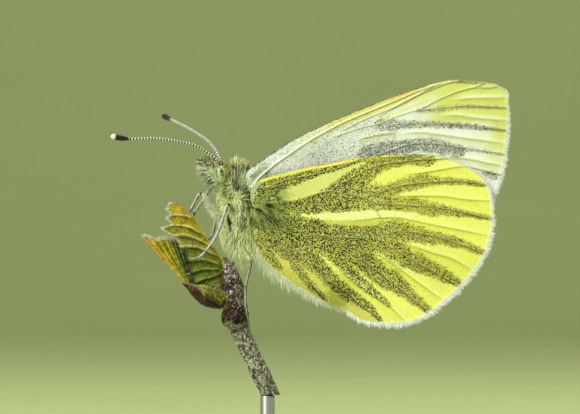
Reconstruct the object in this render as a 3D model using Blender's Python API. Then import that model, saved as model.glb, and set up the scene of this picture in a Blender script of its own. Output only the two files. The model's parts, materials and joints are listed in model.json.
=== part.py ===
"""A green-veined white butterfly at rest on an opening bud, held by a plain display stand.

Life size.  The butterfly faces -X, its left side faces -Y and +Z is up.  The origin is the
centre of the stand's underside.  Lengths are written in millimetres and built in metres.
"""
import math

import bpy
import numpy as np

MM = 0.001

# Driving dimensions
CLEARANCE = 0.05            # gap left between neighbouring pieces
WING_THICKNESS = 0.5
WING_GAP = 0.12             # between the four closed wings
LEG_RADIUS = 0.25
ANTENNA_RADIUS = 0.25
LEAF_THICKNESS = 0.5
SCALE_THICKNESS = 0.45
THORAX_HALF_WIDTH = 1.45
ABDOMEN_HALF_WIDTH = 1.15
BASE_RADIUS = 12.5
BASE_HEIGHT = 3.0
ROD_RADIUS = 0.6
TWIG_CUT = (-3.75, 10.1)    # x and z of the twig's sawn lower end

# Distance of each wing's middle surface from the plane of symmetry, where the wings lie flat
FOREWING_LAYER = WING_GAP / 2 + WING_THICKNESS / 2
HINDWING_LAYER = FOREWING_LAYER + WING_THICKNESS + WING_GAP
WING_HINGE = (-5.2, 26.6)   # x and z of the wing bases

# Body axis, as (x, z) points from the front of the piece to its back
HEAD_AXIS = [(-8.75, 29.65), (-8.5, 29.4), (-8.05, 29.0), (-7.6, 28.55), (-7.15, 28.15)]
THORAX_AXIS = [(-6.2, 29.0), (-6.3, 28.3), (-6.3, 27.0), (-6.15, 25.1), (-5.7, 23.5), (-5.15, 22.5)]
ABDOMEN_AXIS = [(-4.8, 22.75), (-3.54, 22.0), (-1.88, 20.92), (-0.2, 19.75), (1.0, 18.95)]

# Outlines, as (x, z) points, out to the tips of the fringe
FOREWING_OUTLINE = [
    (-5.55, 28.3), (-5.04, 29.08), (-3.54, 30.17), (-1.38, 31.5), (1.79, 33.0), (5.88, 34.69),
    (8.96, 35.75), (11.21, 36.33), (13.04, 36.35), (15.04, 36.08), (16.25, 35.45), (16.62, 34.25),
    (16.6, 31.96), (16.12, 28.75), (15.46, 26.33), (14.29, 23.17), (7.29, 24.17), (1.46, 25.17),
    (-4.21, 26.08), (-5.3, 27.1)]
HINDWING_OUTLINE = [
    (-5.12, 26.17), (-5.15, 26.92), (-4.88, 27.67), (-4.12, 28.08), (-1.54, 28.75), (2.88, 29.67),
    (5.88, 30.03), (8.88, 30.14), (11.04, 29.8), (13.12, 28.92), (14.79, 27.33), (15.42, 25.33),
    (15.33, 23.17), (14.29, 20.5), (12.54, 18.72), (10.62, 17.08), (8.84, 15.88), (7.04, 15.37),
    (5.29, 15.62), (2.71, 16.83), (0.62, 17.75), (-1.54, 18.92), (-3.04, 19.92), (-4.12, 21.08),
    (-4.88, 22.58), (-5.12, 24.5)]

# Legs, as (x, y, z) joints of each leg: in the body, hip, knee, shin end, foot, claw
LEGS = {
    "leg_front_left": [(-7.1, -0.5, 25.3), (-7.66, -0.75, 24.95), (-9.3, -0.8, 27.15),
                       (-10.15, -0.12, 25.5), (-11.0, 0.05, 24.2)],
    "leg_front_right": [(-7.3, 0.45, 26.2), (-8.5, 0.85, 27.4), (-9.15, 0.8, 26.3),
                        (-9.9, 0.7, 25.2), (-10.9, 0.7, 23.6)],
    "leg_mid_left": [(-6.35, -0.95, 24.5), (-6.93, -1.9, 26.3), (-7.97, -1.6, 23.33),
                     (-8.88, -1.3, 22.05), (-9.44, -1.15, 21.54), (-10.21, -1.1, 21.42)],
    "leg_mid_right": [(-6.6, 0.7, 24.3), (-7.88, 1.3, 26.17), (-8.27, 1.2, 23.71),
                      (-8.67, 0.95, 23.0), (-9.6, 0.75, 21.9), (-10.2, 0.75, 21.3)],
    "leg_hind_left": [(-5.9, -0.35, 23.6), (-6.25, -0.9, 22.92), (-5.05, -1.5, 21.25),
                      (-5.6, -1.25, 19.1), (-5.55, -1.1, 18.0), (-5.48, -1.1, 16.9),
                      (-5.25, -1.0, 15.9)],
    "leg_hind_right": [(-5.9, 0.4, 23.7), (-5.2, 1.3, 22.2), (-6.38, 1.5, 21.42),
                       (-6.9, 1.5, 20.6), (-7.1, 1.55, 19.6), (-7.05, 1.6, 18.8)],
}

# Feelers, from the brow to the tip of the club
ANTENNAE = {
    "antenna_left": [(-7.58, -0.3, 29.29), (-8.04, -0.45, 29.73), (-8.81, -0.75, 30.31),
                     (-9.71, -1.1, 30.83), (-11.08, -1.7, 31.17), (-13.12, -2.7, 31.43),
                     (-15.04, -3.5, 31.38), (-16.6, -4.1, 31.58)],
    "antenna_right": [(-7.5, 0.3, 29.33), (-7.75, 0.6, 29.83), (-8.11, 1.15, 30.53),
                      (-8.88, 2.2, 31.38), (-10.21, 4.1, 32.25), (-11.71, 6.2, 33.04),
                      (-12.66, 7.7, 33.5)],
}
CLUB_LENGTH = 1.6

# Half of the left palp's axis; the right palp mirrors it
PALP_AXIS = [(-7.95, -0.36, 27.75), (-8.42, -0.36, 28.37), (-8.96, -0.34, 29.08), (-9.3, -0.32, 29.7)]

# Perch: node, bud and the two unfolding leaves
NODE_AXIS = [(-6.15, 15.75), (-6.4, 16.4), (-6.65, 17.2)]
BUD_AXIS = [(-6.72, 17.4), (-7.05, 18.2), (-7.6, 18.9), (-8.2, 19.3)]
SCALE_RIGHT_AXIS = [(-6.72, 17.3), (-7.0, 19.0), (-7.35, 20.6), (-7.55, 21.5)]
SCALE_LEFT_AXIS = [(-7.5, 18.3), (-8.7, 19.15), (-9.96, 19.62), (-10.7, 19.6)]
LEAF_RIGHT_SPINE = [(-7.75, 19.6), (-7.55, 20.6), (-7.7, 21.6), (-8.35, 22.6), (-9.15, 23.8),
                    (-10.0, 24.98), (-10.95, 25.78), (-11.5, 26.05)]
LEAF_RIGHT_MARGIN = [(-9.0, 19.3), (-9.75, 20.2), (-10.15, 21.5), (-10.65, 22.8), (-11.85, 23.7),
                     (-11.85, 24.7), (-11.85, 25.5), (-11.65, 26.0)]
LEAF_LEFT_SPINE = [(-10.45, 19.6), (-11.81, 20.7), (-12.66, 21.63), (-13.5, 22.6), (-14.15, 23.2)]
LEAF_LEFT_MARGIN = [(-10.15, 20.0), (-10.65, 21.5), (-11.2, 22.75), (-12.4, 23.0), (-14.05, 23.22)]


def clear_scene():
    """Remove whatever the file opened with."""
    for item in list(bpy.data.objects):
        bpy.data.objects.remove(item, do_unlink=True)


def material(name, colour, roughness, metallic=0.0):
    """Return one Principled material, made once for each name."""
    made = bpy.data.materials.get(name)
    if made is None:
        made = bpy.data.materials.new(name)
        made.use_nodes = True
        shader = made.node_tree.nodes["Principled BSDF"]
        shader.inputs["Base Color"].default_value = (*colour, 1.0)
        shader.inputs["Roughness"].default_value = roughness
        shader.inputs["Metallic"].default_value = metallic
    return made


def body_fur():
    """Grey-green fur of the head and trunk."""
    return material("body_fur", (0.42, 0.45, 0.27), 0.9)


def leg_shell():
    """Pale scaled shell of the legs."""
    return material("leg_shell", (0.55, 0.54, 0.45), 0.6)


def feeler_shell():
    """Dark ringed shell of the antennae."""
    return material("feeler_shell", (0.08, 0.08, 0.07), 0.5)


def eye_lens():
    """Pale green compound eye."""
    return material("eye_lens", (0.28, 0.42, 0.18), 0.25)


def forewing_scales():
    """White scales of the forewing."""
    return material("forewing_scales", (0.72, 0.76, 0.64), 0.7)


def hindwing_scales():
    """Yellow scales of the hindwing's underside."""
    return material("hindwing_scales", (0.72, 0.76, 0.16), 0.7)


def twig_bark():
    """Grey-brown bark."""
    return material("twig_bark", (0.16, 0.15, 0.10), 0.85)


def bud_brown():
    """Dark brown bud scales."""
    return material("bud_brown", (0.09, 0.05, 0.03), 0.6)


def leaf_green():
    """Young yellow-green leaf."""
    return material("leaf_green", (0.20, 0.25, 0.02), 0.5)


def stand_metal():
    """Brushed steel rod."""
    return material("stand_metal", (0.6, 0.6, 0.6), 0.3, 1.0)


def stand_black():
    """Satin black base."""
    return material("stand_black", (0.03, 0.03, 0.03), 0.4)


def smooth_curve(points, count, closed=False):
    """Return count points, evenly spaced, on a smooth curve through the given points."""
    knots = np.asarray(points, float)
    if closed:
        knots = np.vstack([knots[-1], knots, knots[0], knots[1]])
    else:
        knots = np.vstack([2 * knots[0] - knots[1], knots, 2 * knots[-1] - knots[-2]])
    lengths = np.linalg.norm(np.diff(knots, axis=0), axis=1)
    at = np.concatenate([[0.0], np.cumsum(lengths)])
    slopes = (knots[2:] - knots[:-2]) / (at[2:] - at[:-2])[:, None]
    t = np.linspace(0.0, 1.0, 16, endpoint=False)[:, None]
    pieces = []
    for index, step in enumerate(lengths[1:-1]):
        start, end = knots[index + 1], knots[index + 2]
        pieces.append((2 * t**3 - 3 * t**2 + 1) * start + (t**3 - 2 * t**2 + t) * step * slopes[index]
                      + (3 * t**2 - 2 * t**3) * end + (t**3 - t**2) * step * slopes[index + 1])
    dense = np.vstack([*pieces, knots[-2:-1]])
    along = np.concatenate([[0.0], np.cumsum(np.linalg.norm(np.diff(dense, axis=0), axis=1))])
    stops = np.linspace(0.0, along[-1], count, endpoint=not closed)
    return np.column_stack([np.interp(stops, along, axis) for axis in dense.T])


def resampled(values, count):
    """Spread a short list of sizes evenly over count stations, smoothly."""
    numbered = [(index, value) for index, value in enumerate(values)]
    curve = smooth_curve(numbered, 8 * count)
    return np.interp(np.linspace(0, len(values) - 1, count), curve[:, 0], curve[:, 1])


def bent_route(joints, reach=0.55):
    """Return a route through straight lengths with each corner rounded by an arc."""
    joints = np.asarray(joints, float)
    route = [joints[0]]
    for before, corner, after in zip(joints, joints[1:], joints[2:]):
        inward, outward = corner - before, after - corner
        cut = min(reach, 0.45 * np.linalg.norm(inward), 0.45 * np.linalg.norm(outward))
        inward, outward = inward / np.linalg.norm(inward), outward / np.linalg.norm(outward)
        turn = math.acos(float(np.clip(inward @ outward, -1.0, 1.0)))
        radius = cut / math.tan(turn / 2)
        start = corner - cut * inward
        bow = outward - (outward @ inward) * inward
        bow = bow / np.linalg.norm(bow)
        steps = 1 + math.ceil(turn / math.radians(35))
        for angle in np.linspace(0.0, turn, steps + 1):
            route.append(start + radius * (math.sin(angle) * inward + (1 - math.cos(angle)) * bow))
    route.append(joints[-1])
    return np.array(route)


def add_mesh(name, points, faces, look):
    """Make one object from points in millimetres."""
    mesh = bpy.data.meshes.new(name)
    mesh.from_pydata([tuple(point * MM) for point in np.asarray(points, float)], [], faces)
    mesh.materials.append(look)
    mesh.shade_smooth()
    mesh.set_sharp_from_angle(angle=math.radians(50))
    made = bpy.data.objects.new(name, mesh)
    bpy.context.scene.collection.objects.link(made)
    return made


def tube(name, route, depth, width, sides, look, domed=True):
    """Sweep an ellipse along a route: width is its reach towards Y, depth the other way."""
    route = np.asarray(route, float)
    if route.shape[1] == 2:
        route = np.column_stack([route[:, 0], np.zeros(len(route)), route[:, 1]])
    along = np.gradient(route, axis=0)
    along /= np.linalg.norm(along, axis=1)[:, None]
    depth = np.broadcast_to(np.asarray(depth, float), len(route))
    width = np.broadcast_to(np.asarray(width, float), len(route))
    if domed:
        ends = [(0, -0.75, 0.6), (0, -0.45, 0.85)], [(-1, 0.45, 0.85), (-1, 0.75, 0.6)]
        extra = [[(route[i] + push * depth[i] * along[i], along[i], shrink * depth[i], shrink * width[i])
                  for i, push, shrink in end] for end in ends]
        middle = list(zip(route, along, depth, width))
        stations = extra[0] + middle + extra[1]
    else:
        stations = list(zip(route, along, depth, width))
    angles = np.linspace(0, 2 * math.pi, sides, endpoint=False)
    points = []
    for centre, forward, deep, wide in stations:
        side = np.array([0.0, 1.0, 0.0]) - forward[1] * forward
        side /= np.linalg.norm(side)
        up = np.cross(forward, side)
        points += [centre + wide * math.cos(a) * side + deep * math.sin(a) * up for a in angles]
    faces = []
    for ring in range(len(stations) - 1):
        for k in range(sides):
            a, b = ring * sides + k, ring * sides + (k + 1) % sides
            faces.append((a, b, b + sides, a + sides))
    last = (len(stations) - 1) * sides
    faces.append(tuple(reversed(range(sides))))
    faces.append(tuple(range(last, last + sides)))
    return add_mesh(name, points, faces, look)


def thicken(made, thickness):
    """Give an open surface an even thickness about its middle."""
    solid = made.modifiers.new("thickness", "SOLIDIFY")
    solid.thickness = thickness * MM
    solid.offset = 0.0
    solid.use_even_offset = True
    return made


def sheet(name, grid, thickness, look):
    """Make a thick sheet from rows of points, a rows x columns x 3 array."""
    rows, columns = grid.shape[:2]
    faces = [(r * columns + c, r * columns + c + 1, (r + 1) * columns + c + 1, (r + 1) * columns + c)
             for r in range(rows - 1) for c in range(columns - 1)]
    return thicken(add_mesh(name, grid.reshape(-1, 3), faces, look), thickness)


def carve(target, neighbours):
    """Cut a fine gap round each neighbour out of the target."""
    cutters = bpy.data.collections.new(f"cutters_{target.name}")
    bpy.context.scene.collection.children.link(cutters)
    for neighbour in neighbours:
        cutter = neighbour.copy()
        cutter.name = f"cutter_{target.name}_{neighbour.name}"
        cutters.objects.link(cutter)
        for old in [item for item in cutter.modifiers if item.type == "BOOLEAN"]:
            cutter.modifiers.remove(old)
        swell = cutter.modifiers.new("swell", "DISPLACE")
        swell.strength = CLEARANCE * MM
        swell.mid_level = 0.0
        cutter.hide_render = True
        cutter.display_type = "WIRE"
    cut = target.modifiers.new("clear_of_neighbours", "BOOLEAN")
    cut.operation = "DIFFERENCE"
    cut.operand_type = "COLLECTION"
    cut.collection = cutters


def distance_to_segment(x, z, start, end):
    """Distance of (x, z) from a straight segment."""
    start, along = np.array(start), np.array(end) - np.array(start)
    offset = np.array([x, z]) - start
    share = np.clip(offset @ along / (along @ along), 0.0, 1.0)
    return float(np.linalg.norm(offset - share * along))


def forewing_reach(x, z):
    """Distance of the forewing's middle surface from the plane of symmetry."""
    hinge = math.hypot(x - WING_HINGE[0], z - WING_HINGE[1])
    return FOREWING_LAYER + 0.7 * math.exp(-(hinge / 2.3) ** 2)


def hindwing_reach(x, z):
    """The same for the hindwing, which lies over the forewing and bows round the abdomen."""
    below = (26.0 - 0.165 * (x + WING_HINGE[0] * -1) - z) / 5.0
    fall = min(max(below, 0.0), 1.0)
    flat = HINDWING_LAYER - (HINDWING_LAYER - FOREWING_LAYER) * fall * fall * (3 - 2 * fall)
    hinge = math.hypot(x - WING_HINGE[0], z - WING_HINGE[1])
    root = 0.85 * math.exp(-(hinge / 2.9) ** 2)
    trunk = distance_to_segment(x, z, ABDOMEN_AXIS[0], ABDOMEN_AXIS[-1])
    bow = (ABDOMEN_HALF_WIDTH + 0.45) * math.exp(-(trunk / 1.7) ** 2)
    return (flat**3 + bow**3) ** (1 / 3) + root


def wing(name, outline, centre, reach, side, look):
    """Make one wing as rings of points that shrink from its outline to a centre near the base."""
    edge = smooth_curve(outline, 39, closed=True)
    centre = np.array(centre)
    shares = [0.0, 0.15, 0.35, 0.65, 1.0]
    flat = [centre] + [centre + share * (point - centre) for share in shares[1:] for point in edge]
    points = [(x, side * reach(x, z), z) for x, z in flat]
    count = len(edge)
    faces = [(0, 1 + k, 1 + (k + 1) % count) for k in range(count)]
    for ring in range(len(shares) - 2):
        start = 1 + ring * count
        for k in range(count):
            a, b = start + k, start + (k + 1) % count
            faces.append((a, a + count, b + count, b))
    if side > 0:
        faces = [tuple(reversed(face)) for face in faces]
    return thicken(add_mesh(name, points, faces, look), WING_THICKNESS)


def make_wings():
    """Four closed wings: the hindwings lie outside and cover the bases of the forewings."""
    made = []
    for word, side in (("left", -1), ("right", 1)):
        made.append(wing(f"forewing_{word}", FOREWING_OUTLINE, (-4.6, 27.5), forewing_reach, side,
                         forewing_scales()))
        made.append(wing(f"hindwing_{word}", HINDWING_OUTLINE, (-4.1, 25.4), hindwing_reach, side,
                         hindwing_scales()))
    return made


def make_eyes():
    """Two egg-shaped eyes set into the sides of the head."""
    made = []
    for word, side in (("left", -1), ("right", 1)):
        bpy.ops.mesh.primitive_uv_sphere_add(segments=12, ring_count=8, radius=MM)
        eye = bpy.context.active_object
        eye.name = f"eye_{word}"
        eye.data.name = eye.name
        eye.data.transform(((0.52, 0, 0, 0), (0, 0.46, 0, 0), (0, 0, 0.72, 0), (0, 0, 0, 1)))
        eye.rotation_euler = (0.0, math.radians(-8), 0.0)
        eye.location = (-7.66 * MM, side * 0.7 * MM, 28.46 * MM)
        eye.data.materials.append(eye_lens())
        eye.data.shade_smooth()
        made.append(eye)
    return made


def make_palps():
    """Bristly palps that reach forward and up in front of the face."""
    made = []
    for word, side in (("left", 1), ("right", -1)):
        axis = smooth_curve([(x, side * y, z) for x, y, z in PALP_AXIS], 6)
        radii = resampled([0.26, 0.34, 0.34, 0.25], 6)
        made.append(tube(f"palp_{word}", axis, radii, 0.85 * radii, 6, body_fur()))
    return made


def make_antennae():
    """Slender feelers, each ending in a club."""
    made = []
    for name, points in ANTENNAE.items():
        route = smooth_curve(points, 17)
        left = np.linalg.norm(route - route[-1], axis=1)
        swell = 0.02 + 0.04 * np.clip(1.0 - (left / CLUB_LENGTH) ** 2, 0.0, 1.0)
        radii = ANTENNA_RADIUS + swell
        made.append(tube(name, route, radii, radii, 6, feeler_shell()))
    return made


def make_legs():
    """Six bent legs."""
    made = []
    for name, joints in LEGS.items():
        route = bent_route(joints)
        radii = np.interp(np.linspace(0, 1, len(route)), [0, 0.3, 1], [0.32, 0.27, LEG_RADIUS])
        made.append(tube(name, route, radii, radii, 6, leg_shell()))
    return made


def make_head():
    """Head with its tuft of hair over the brow."""
    axis = smooth_curve(HEAD_AXIS, 8)
    return tube("head", axis, resampled([0.3, 0.55, 0.78, 0.84, 0.62], 8),
                resampled([0.35, 0.6, 0.82, 0.86, 0.7], 8), 14, body_fur())


def make_thorax():
    """Deep, furry thorax."""
    axis = smooth_curve(THORAX_AXIS, 9)
    return tube("thorax", axis, resampled([0.8, 1.2, 1.5, 1.9, 1.95, 1.35], 9),
                resampled([0.8, 1.2, 1.42, THORAX_HALF_WIDTH, 1.3, 1.0], 9), 16, body_fur())


def make_abdomen():
    """Slim abdomen between the hindwings."""
    axis = smooth_curve(ABDOMEN_AXIS, 9)
    return tube("abdomen", axis, resampled([1.05, 1.15, 1.1, 0.9, 0.45], 9),
                resampled([1.0, ABDOMEN_HALF_WIDTH, 1.05, 0.85, 0.4], 9), 14, body_fur())


def make_twig():
    """Leaning twig with a flat sawn end."""
    top = np.array([-6.12, 15.65])
    cut = np.array(TWIG_CUT)
    route = np.linspace(top, cut, 7)
    made = tube("perch_twig", route, resampled([0.92, 0.78, 0.8, 0.76, 0.82], 7),
                resampled([0.9, 0.8, 0.78, 0.8, 0.8], 7), 14, twig_bark(), domed=False)
    for vertex in made.data.vertices[-14:]:
        vertex.co.z = cut[1] * MM
    return made


def scale_shell(name, axis, radii, middle, spread, shift, look):
    """Make a spoon-shaped bud scale that wraps round an axis, centred on one direction."""
    route = smooth_curve(axis, 9)
    along = np.gradient(route, axis=0)
    along /= np.linalg.norm(along, axis=1)[:, None]
    radii, spread = resampled(radii, 9), np.radians(resampled(spread, 9))
    rows = []
    for (x, z), (ax, az), radius, angle in zip(route, along, radii, spread):
        out = np.array([az, 0.0, -ax]) * middle
        row = [np.array([x, shift, z]) + radius * (math.cos(a) * out + math.sin(a) * np.array([0, 1, 0]))
               for a in np.linspace(-angle, angle, 11)]
        rows.append(row)
    return sheet(name, np.array(rows), SCALE_THICKNESS, look)


def make_bud():
    """Dark node, green core and the two bud scales that hold the leaves."""
    node = tube("perch_node", smooth_curve(NODE_AXIS, 5), [0.95, 1.1, 1.2, 1.15, 1.0],
                [0.95, 1.1, 1.2, 1.15, 1.0], 16, bud_brown(), domed=False)
    core = tube("perch_bud_core", smooth_curve(BUD_AXIS, 6), [0.8, 0.85, 0.85, 0.8, 0.7, 0.55],
                [0.8, 0.85, 0.85, 0.8, 0.7, 0.55], 12, leaf_green())
    right = scale_shell("perch_scale_right", SCALE_RIGHT_AXIS, [0.85, 1.06, 0.85, 0.25], 1,
                        [110, 120, 105, 70], 0.0, bud_brown())
    left = scale_shell("perch_scale_left", SCALE_LEFT_AXIS, [1.15, 1.35, 1.1, 0.3], -1,
                       [80, 86, 75, 50], 0.0, bud_brown())
    return node, core, right, left


def leaf(name, spine, margin, lean, bow, pleats, look):
    """Make half a folded leaf, pleated from its spine to its margin."""
    rows = []
    spine, margin = smooth_curve(spine, 16), smooth_curve(margin, 16)
    for index, (inner, outer) in enumerate(zip(spine, margin)):
        share = index / 15
        row = []
        for t in np.linspace(0, 1, 5):
            x, z = inner + t * (outer - inner)
            ridge = math.cos(2 * math.pi * pleats * share) * 0.1 * math.sin(math.pi * min(1, t * 1.2) / 2)
            y = lean[0] + (lean[1] - lean[0]) * share + bow * math.sin(math.pi * t) + ridge
            row.append((x, y, z))
        rows.append(row)
    return sheet(name, np.array(rows), LEAF_THICKNESS, look)


def make_leaves():
    """Two young leaves that unfold from the bud."""
    right = leaf("perch_leaf_right", LEAF_RIGHT_SPINE, LEAF_RIGHT_MARGIN, (-0.1, -0.75), -0.2, 5,
                 leaf_green())
    left = leaf("perch_leaf_left", LEAF_LEFT_SPINE, LEAF_LEFT_MARGIN, (-0.1, -0.4), -0.25, 4,
                leaf_green())
    return right, left


def make_stand():
    """Round base and one upright rod under the twig's sawn end."""
    bpy.ops.mesh.primitive_cylinder_add(vertices=36, radius=BASE_RADIUS * MM, depth=BASE_HEIGHT * MM,
                                        location=(0, 0, BASE_HEIGHT * MM / 2))
    base = bpy.context.active_object
    base.name = "stand_base"
    base.data.materials.append(stand_black())
    edge = base.modifiers.new("edge", "BEVEL")
    edge.width = 0.3 * MM
    edge.segments = 1
    edge.limit_method = "ANGLE"
    foot, top = BASE_HEIGHT + CLEARANCE, TWIG_CUT[1] - CLEARANCE
    bpy.ops.mesh.primitive_cylinder_add(vertices=16, radius=ROD_RADIUS * MM, depth=(top - foot) * MM,
                                        location=(TWIG_CUT[0] * MM, 0, (foot + top) * MM / 2))
    rod = bpy.context.active_object
    rod.name = "stand_rod"
    rod.data.materials.append(stand_metal())
    return base, rod


def main():
    clear_scene()
    wings = make_wings()
    eyes = make_eyes()
    palps = make_palps()
    antennae = make_antennae()
    legs = make_legs()
    head = make_head()
    abdomen = make_abdomen()
    thorax = make_thorax()
    carve(palps[0], [eyes[0]])
    carve(palps[1], [eyes[1]])
    carve(head, eyes + palps + antennae)
    carve(abdomen, legs + wings)
    carve(thorax, [head, abdomen] + eyes + palps + antennae + legs + wings)
    make_twig()
    node, core, scale_right, scale_left = make_bud()
    leaves = make_leaves()
    carve(scale_right, leaves)
    carve(scale_left, [scale_right, *leaves])
    carve(core, [scale_right, scale_left, *leaves])
    carve(node, [scale_right, scale_left, core])
    make_stand()


main()
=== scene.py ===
"""A green-veined white butterfly on an opening bud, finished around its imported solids.

Life size.  The butterfly faces -X, its left side faces -Y and +Z is up.  Shapes are worked out
in millimetres and built in metres.
"""

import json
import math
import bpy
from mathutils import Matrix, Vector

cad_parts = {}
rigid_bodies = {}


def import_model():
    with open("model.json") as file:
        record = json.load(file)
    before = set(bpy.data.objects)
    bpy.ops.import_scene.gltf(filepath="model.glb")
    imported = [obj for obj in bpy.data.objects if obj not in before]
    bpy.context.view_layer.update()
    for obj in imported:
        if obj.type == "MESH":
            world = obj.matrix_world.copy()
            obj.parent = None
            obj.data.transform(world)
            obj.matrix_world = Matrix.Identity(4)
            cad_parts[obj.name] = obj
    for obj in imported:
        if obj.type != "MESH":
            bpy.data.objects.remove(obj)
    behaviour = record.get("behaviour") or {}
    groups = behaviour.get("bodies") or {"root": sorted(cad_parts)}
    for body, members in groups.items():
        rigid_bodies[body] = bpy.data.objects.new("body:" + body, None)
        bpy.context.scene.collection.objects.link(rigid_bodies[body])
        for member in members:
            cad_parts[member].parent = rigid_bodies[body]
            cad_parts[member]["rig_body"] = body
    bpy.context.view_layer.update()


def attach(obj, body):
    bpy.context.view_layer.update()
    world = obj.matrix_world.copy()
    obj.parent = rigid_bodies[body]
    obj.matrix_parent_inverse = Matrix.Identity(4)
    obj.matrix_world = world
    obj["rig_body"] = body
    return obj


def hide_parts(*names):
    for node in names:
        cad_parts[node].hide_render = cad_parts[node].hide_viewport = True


bl_info = {
    "name": "Green-veined white butterfly",
    "version": (1, 0, 0),
    "blender": (4, 5, 0),
    "location": "View3D > Sidebar > Butterfly",
    "description": "Builds a museum model of a green-veined white on an opening bud",
    "category": "Object",
}

from collections import namedtuple

import bpy
import numpy as np

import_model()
MM = 0.001
FAR_OFF = 99.0  # stands for any place too far from a line to matter
SIDES = (("left", -1), ("right", 1))

# Body axes, as (x, z) points from the front of the piece to its back
HEAD_AXIS = [(-8.75, 29.65), (-8.5, 29.4), (-8.05, 29), (-7.6, 28.55), (-7.15, 28.15)]
THORAX_AXIS = [(-6.2, 29), (-6.3, 28.3), (-6.3, 27), (-6.15, 25.1), (-5.7, 23.5), (-5.15, 22.5)]
ABDOMEN_AXIS = [(-4.8, 22.75), (-3.54, 22), (-1.88, 20.92), (-0.2, 19.75), (1, 18.95)]
EYE_CENTRE = (-7.66, 0.7, 28.46)
EYE_REACH = (0.52, 0.46, 0.72)
EYE_LEAN = math.radians(-8)
SKIN_GRID = 0.05  # cells of the grid that melts the skin together
PALP_AXIS = [
    (-7.95, -0.36, 27.75), (-8.42, -0.36, 28.37), (-8.96, -0.34, 29.08), (-9.3, -0.32, 29.7)]

# Parts of the trunk: axis, depths and widths along it, rows, sides, share of the coat's depth that
# the surface is inset by
BODY = {
    "head": (HEAD_AXIS, [0.3, 0.55, 0.78, 0.84, 0.62], [0.35, 0.6, 0.82, 0.86, 0.7], 24, 48, 0.5),
    "thorax": (THORAX_AXIS, [0.85, 1.25, 1.5, 1.9, 1.95, 1.35], [0.85, 1.2, 1.42, 1.45, 1.3, 1.0],
               40, 64, 1.0),
    "abdomen": (ABDOMEN_AXIS, [1.05, 1.15, 1.1, 0.9, 0.45], [1.0, 1.15, 1.05, 0.85, 0.4], 40, 56,
                0.35),
    "breast": ([(-7.0, 28.1), (-7.1, 27.3), (-7.25, 26.5), (-7.25, 26.0), (-7.0, 25.2)],
               [0.5, 0.62, 0.8, 0.82, 0.7], [0.6, 0.8, 0.95, 1.0, 0.9], 24, 40, 1.0),
}

# Legs, as (x, y, z) joints from inside the body to the claw; the knee is joint 1 unless KNEES says
# another
SHIN_END = 3
LEGS = {
    "front_left": [(-7.1, -0.5, 25.3), (-7.66, -0.75, 24.95), (-9.3, -0.8, 27.15),
        (-10.15, -0.12, 25.5), (-11, 0.05, 24.2)],
    "front_right": [(-7.3, 0.45, 26.2), (-8.5, 0.85, 27.4), (-9.15, 0.8, 26.3), (-9.9, 0.7, 25.2),
        (-10.9, 0.7, 23.6)],
    "mid_left": [(-6.35, -0.95, 24.5), (-6.93, -1.9, 26.3), (-7.97, -1.6, 23.33),
        (-8.88, -1.3, 22.05), (-9.44, -1.15, 21.54), (-10.21, -1.1, 21.42)],
    "mid_right": [(-6.6, 0.7, 24.3), (-7.88, 1.3, 26.17), (-8.27, 1.2, 23.71), (-8.67, 0.95, 23),
        (-9.6, 0.75, 21.9), (-10.2, 0.75, 21.3)],
    "hind_left": [(-5.9, -0.35, 23.6), (-6.25, -0.9, 22.92), (-5.05, -1.5, 21.25),
        (-5.6, -1.25, 19.1), (-5.55, -1.1, 18), (-5.48, -1.1, 16.9), (-5.25, -1, 15.9)],
    "hind_right": [(-5.9, 0.4, 23.7), (-5.2, 1.3, 22.2), (-6.38, 1.5, 21.42), (-6.9, 1.5, 20.6),
        (-7.1, 1.55, 19.6), (-7.05, 1.6, 18.8)],
}
ANTENNAE = {
    "antenna_left": [(-7.58, -0.3, 29.29), (-8.04, -0.45, 29.73), (-8.81, -0.75, 30.31),
        (-9.71, -1.1, 30.83), (-11.08, -1.7, 31.17), (-13.12, -2.7, 31.43), (-15.04, -3.5, 31.38),
        (-16.6, -4.1, 31.58)],
    "antenna_right": [(-7.5, 0.3, 29.33), (-7.75, 0.6, 29.83), (-8.11, 1.15, 30.53),
        (-8.88, 2.2, 31.38), (-10.21, 4.1, 32.25), (-11.71, 6.2, 33.04), (-12.66, 7.7, 33.5)],
}

# Wings: hinge, edges of the membrane, fringed edges, veins and folds, all as (x, z) points
HINGE = (-5.2, 26.6)
FORE_CENTRE = (-4.6, 27.5)
HIND_CENTRE = (-4.1, 25.4)
FORE_MEMBRANE = [
    (-5.54, 28.33), (-5.21, 28.88), (-4.54, 29.46), (-3.54, 30.12), (-2.33, 30.88), (-1.38, 31.46),
    (0.12, 32.12), (1.79, 32.96), (3.04, 33.5), (4.29, 34), (5.88, 34.67), (7.29, 35.15),
    (8.96, 35.71), (10.12, 36.04), (11.21, 36.28), (11.96, 36.33), (13.04, 36.27), (14.21, 36.17),
    (15.04, 36), (15.62, 35.71), (16.12, 35.33), (16.21, 34.17), (16.27, 33), (16.07, 31.08),
    (15.96, 30.08), (15.79, 28.92), (15.46, 27.79), (15.07, 26.75), (14.29, 24.9), (7.29, 24.9),
    (1.46, 25.3), (-4.21, 26.2), (-5.29, 27.2)]
FORE_FRINGE = [(14.9, 36.03)] + FORE_MEMBRANE[19:28] + [(14.5, 25.3)]
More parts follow.
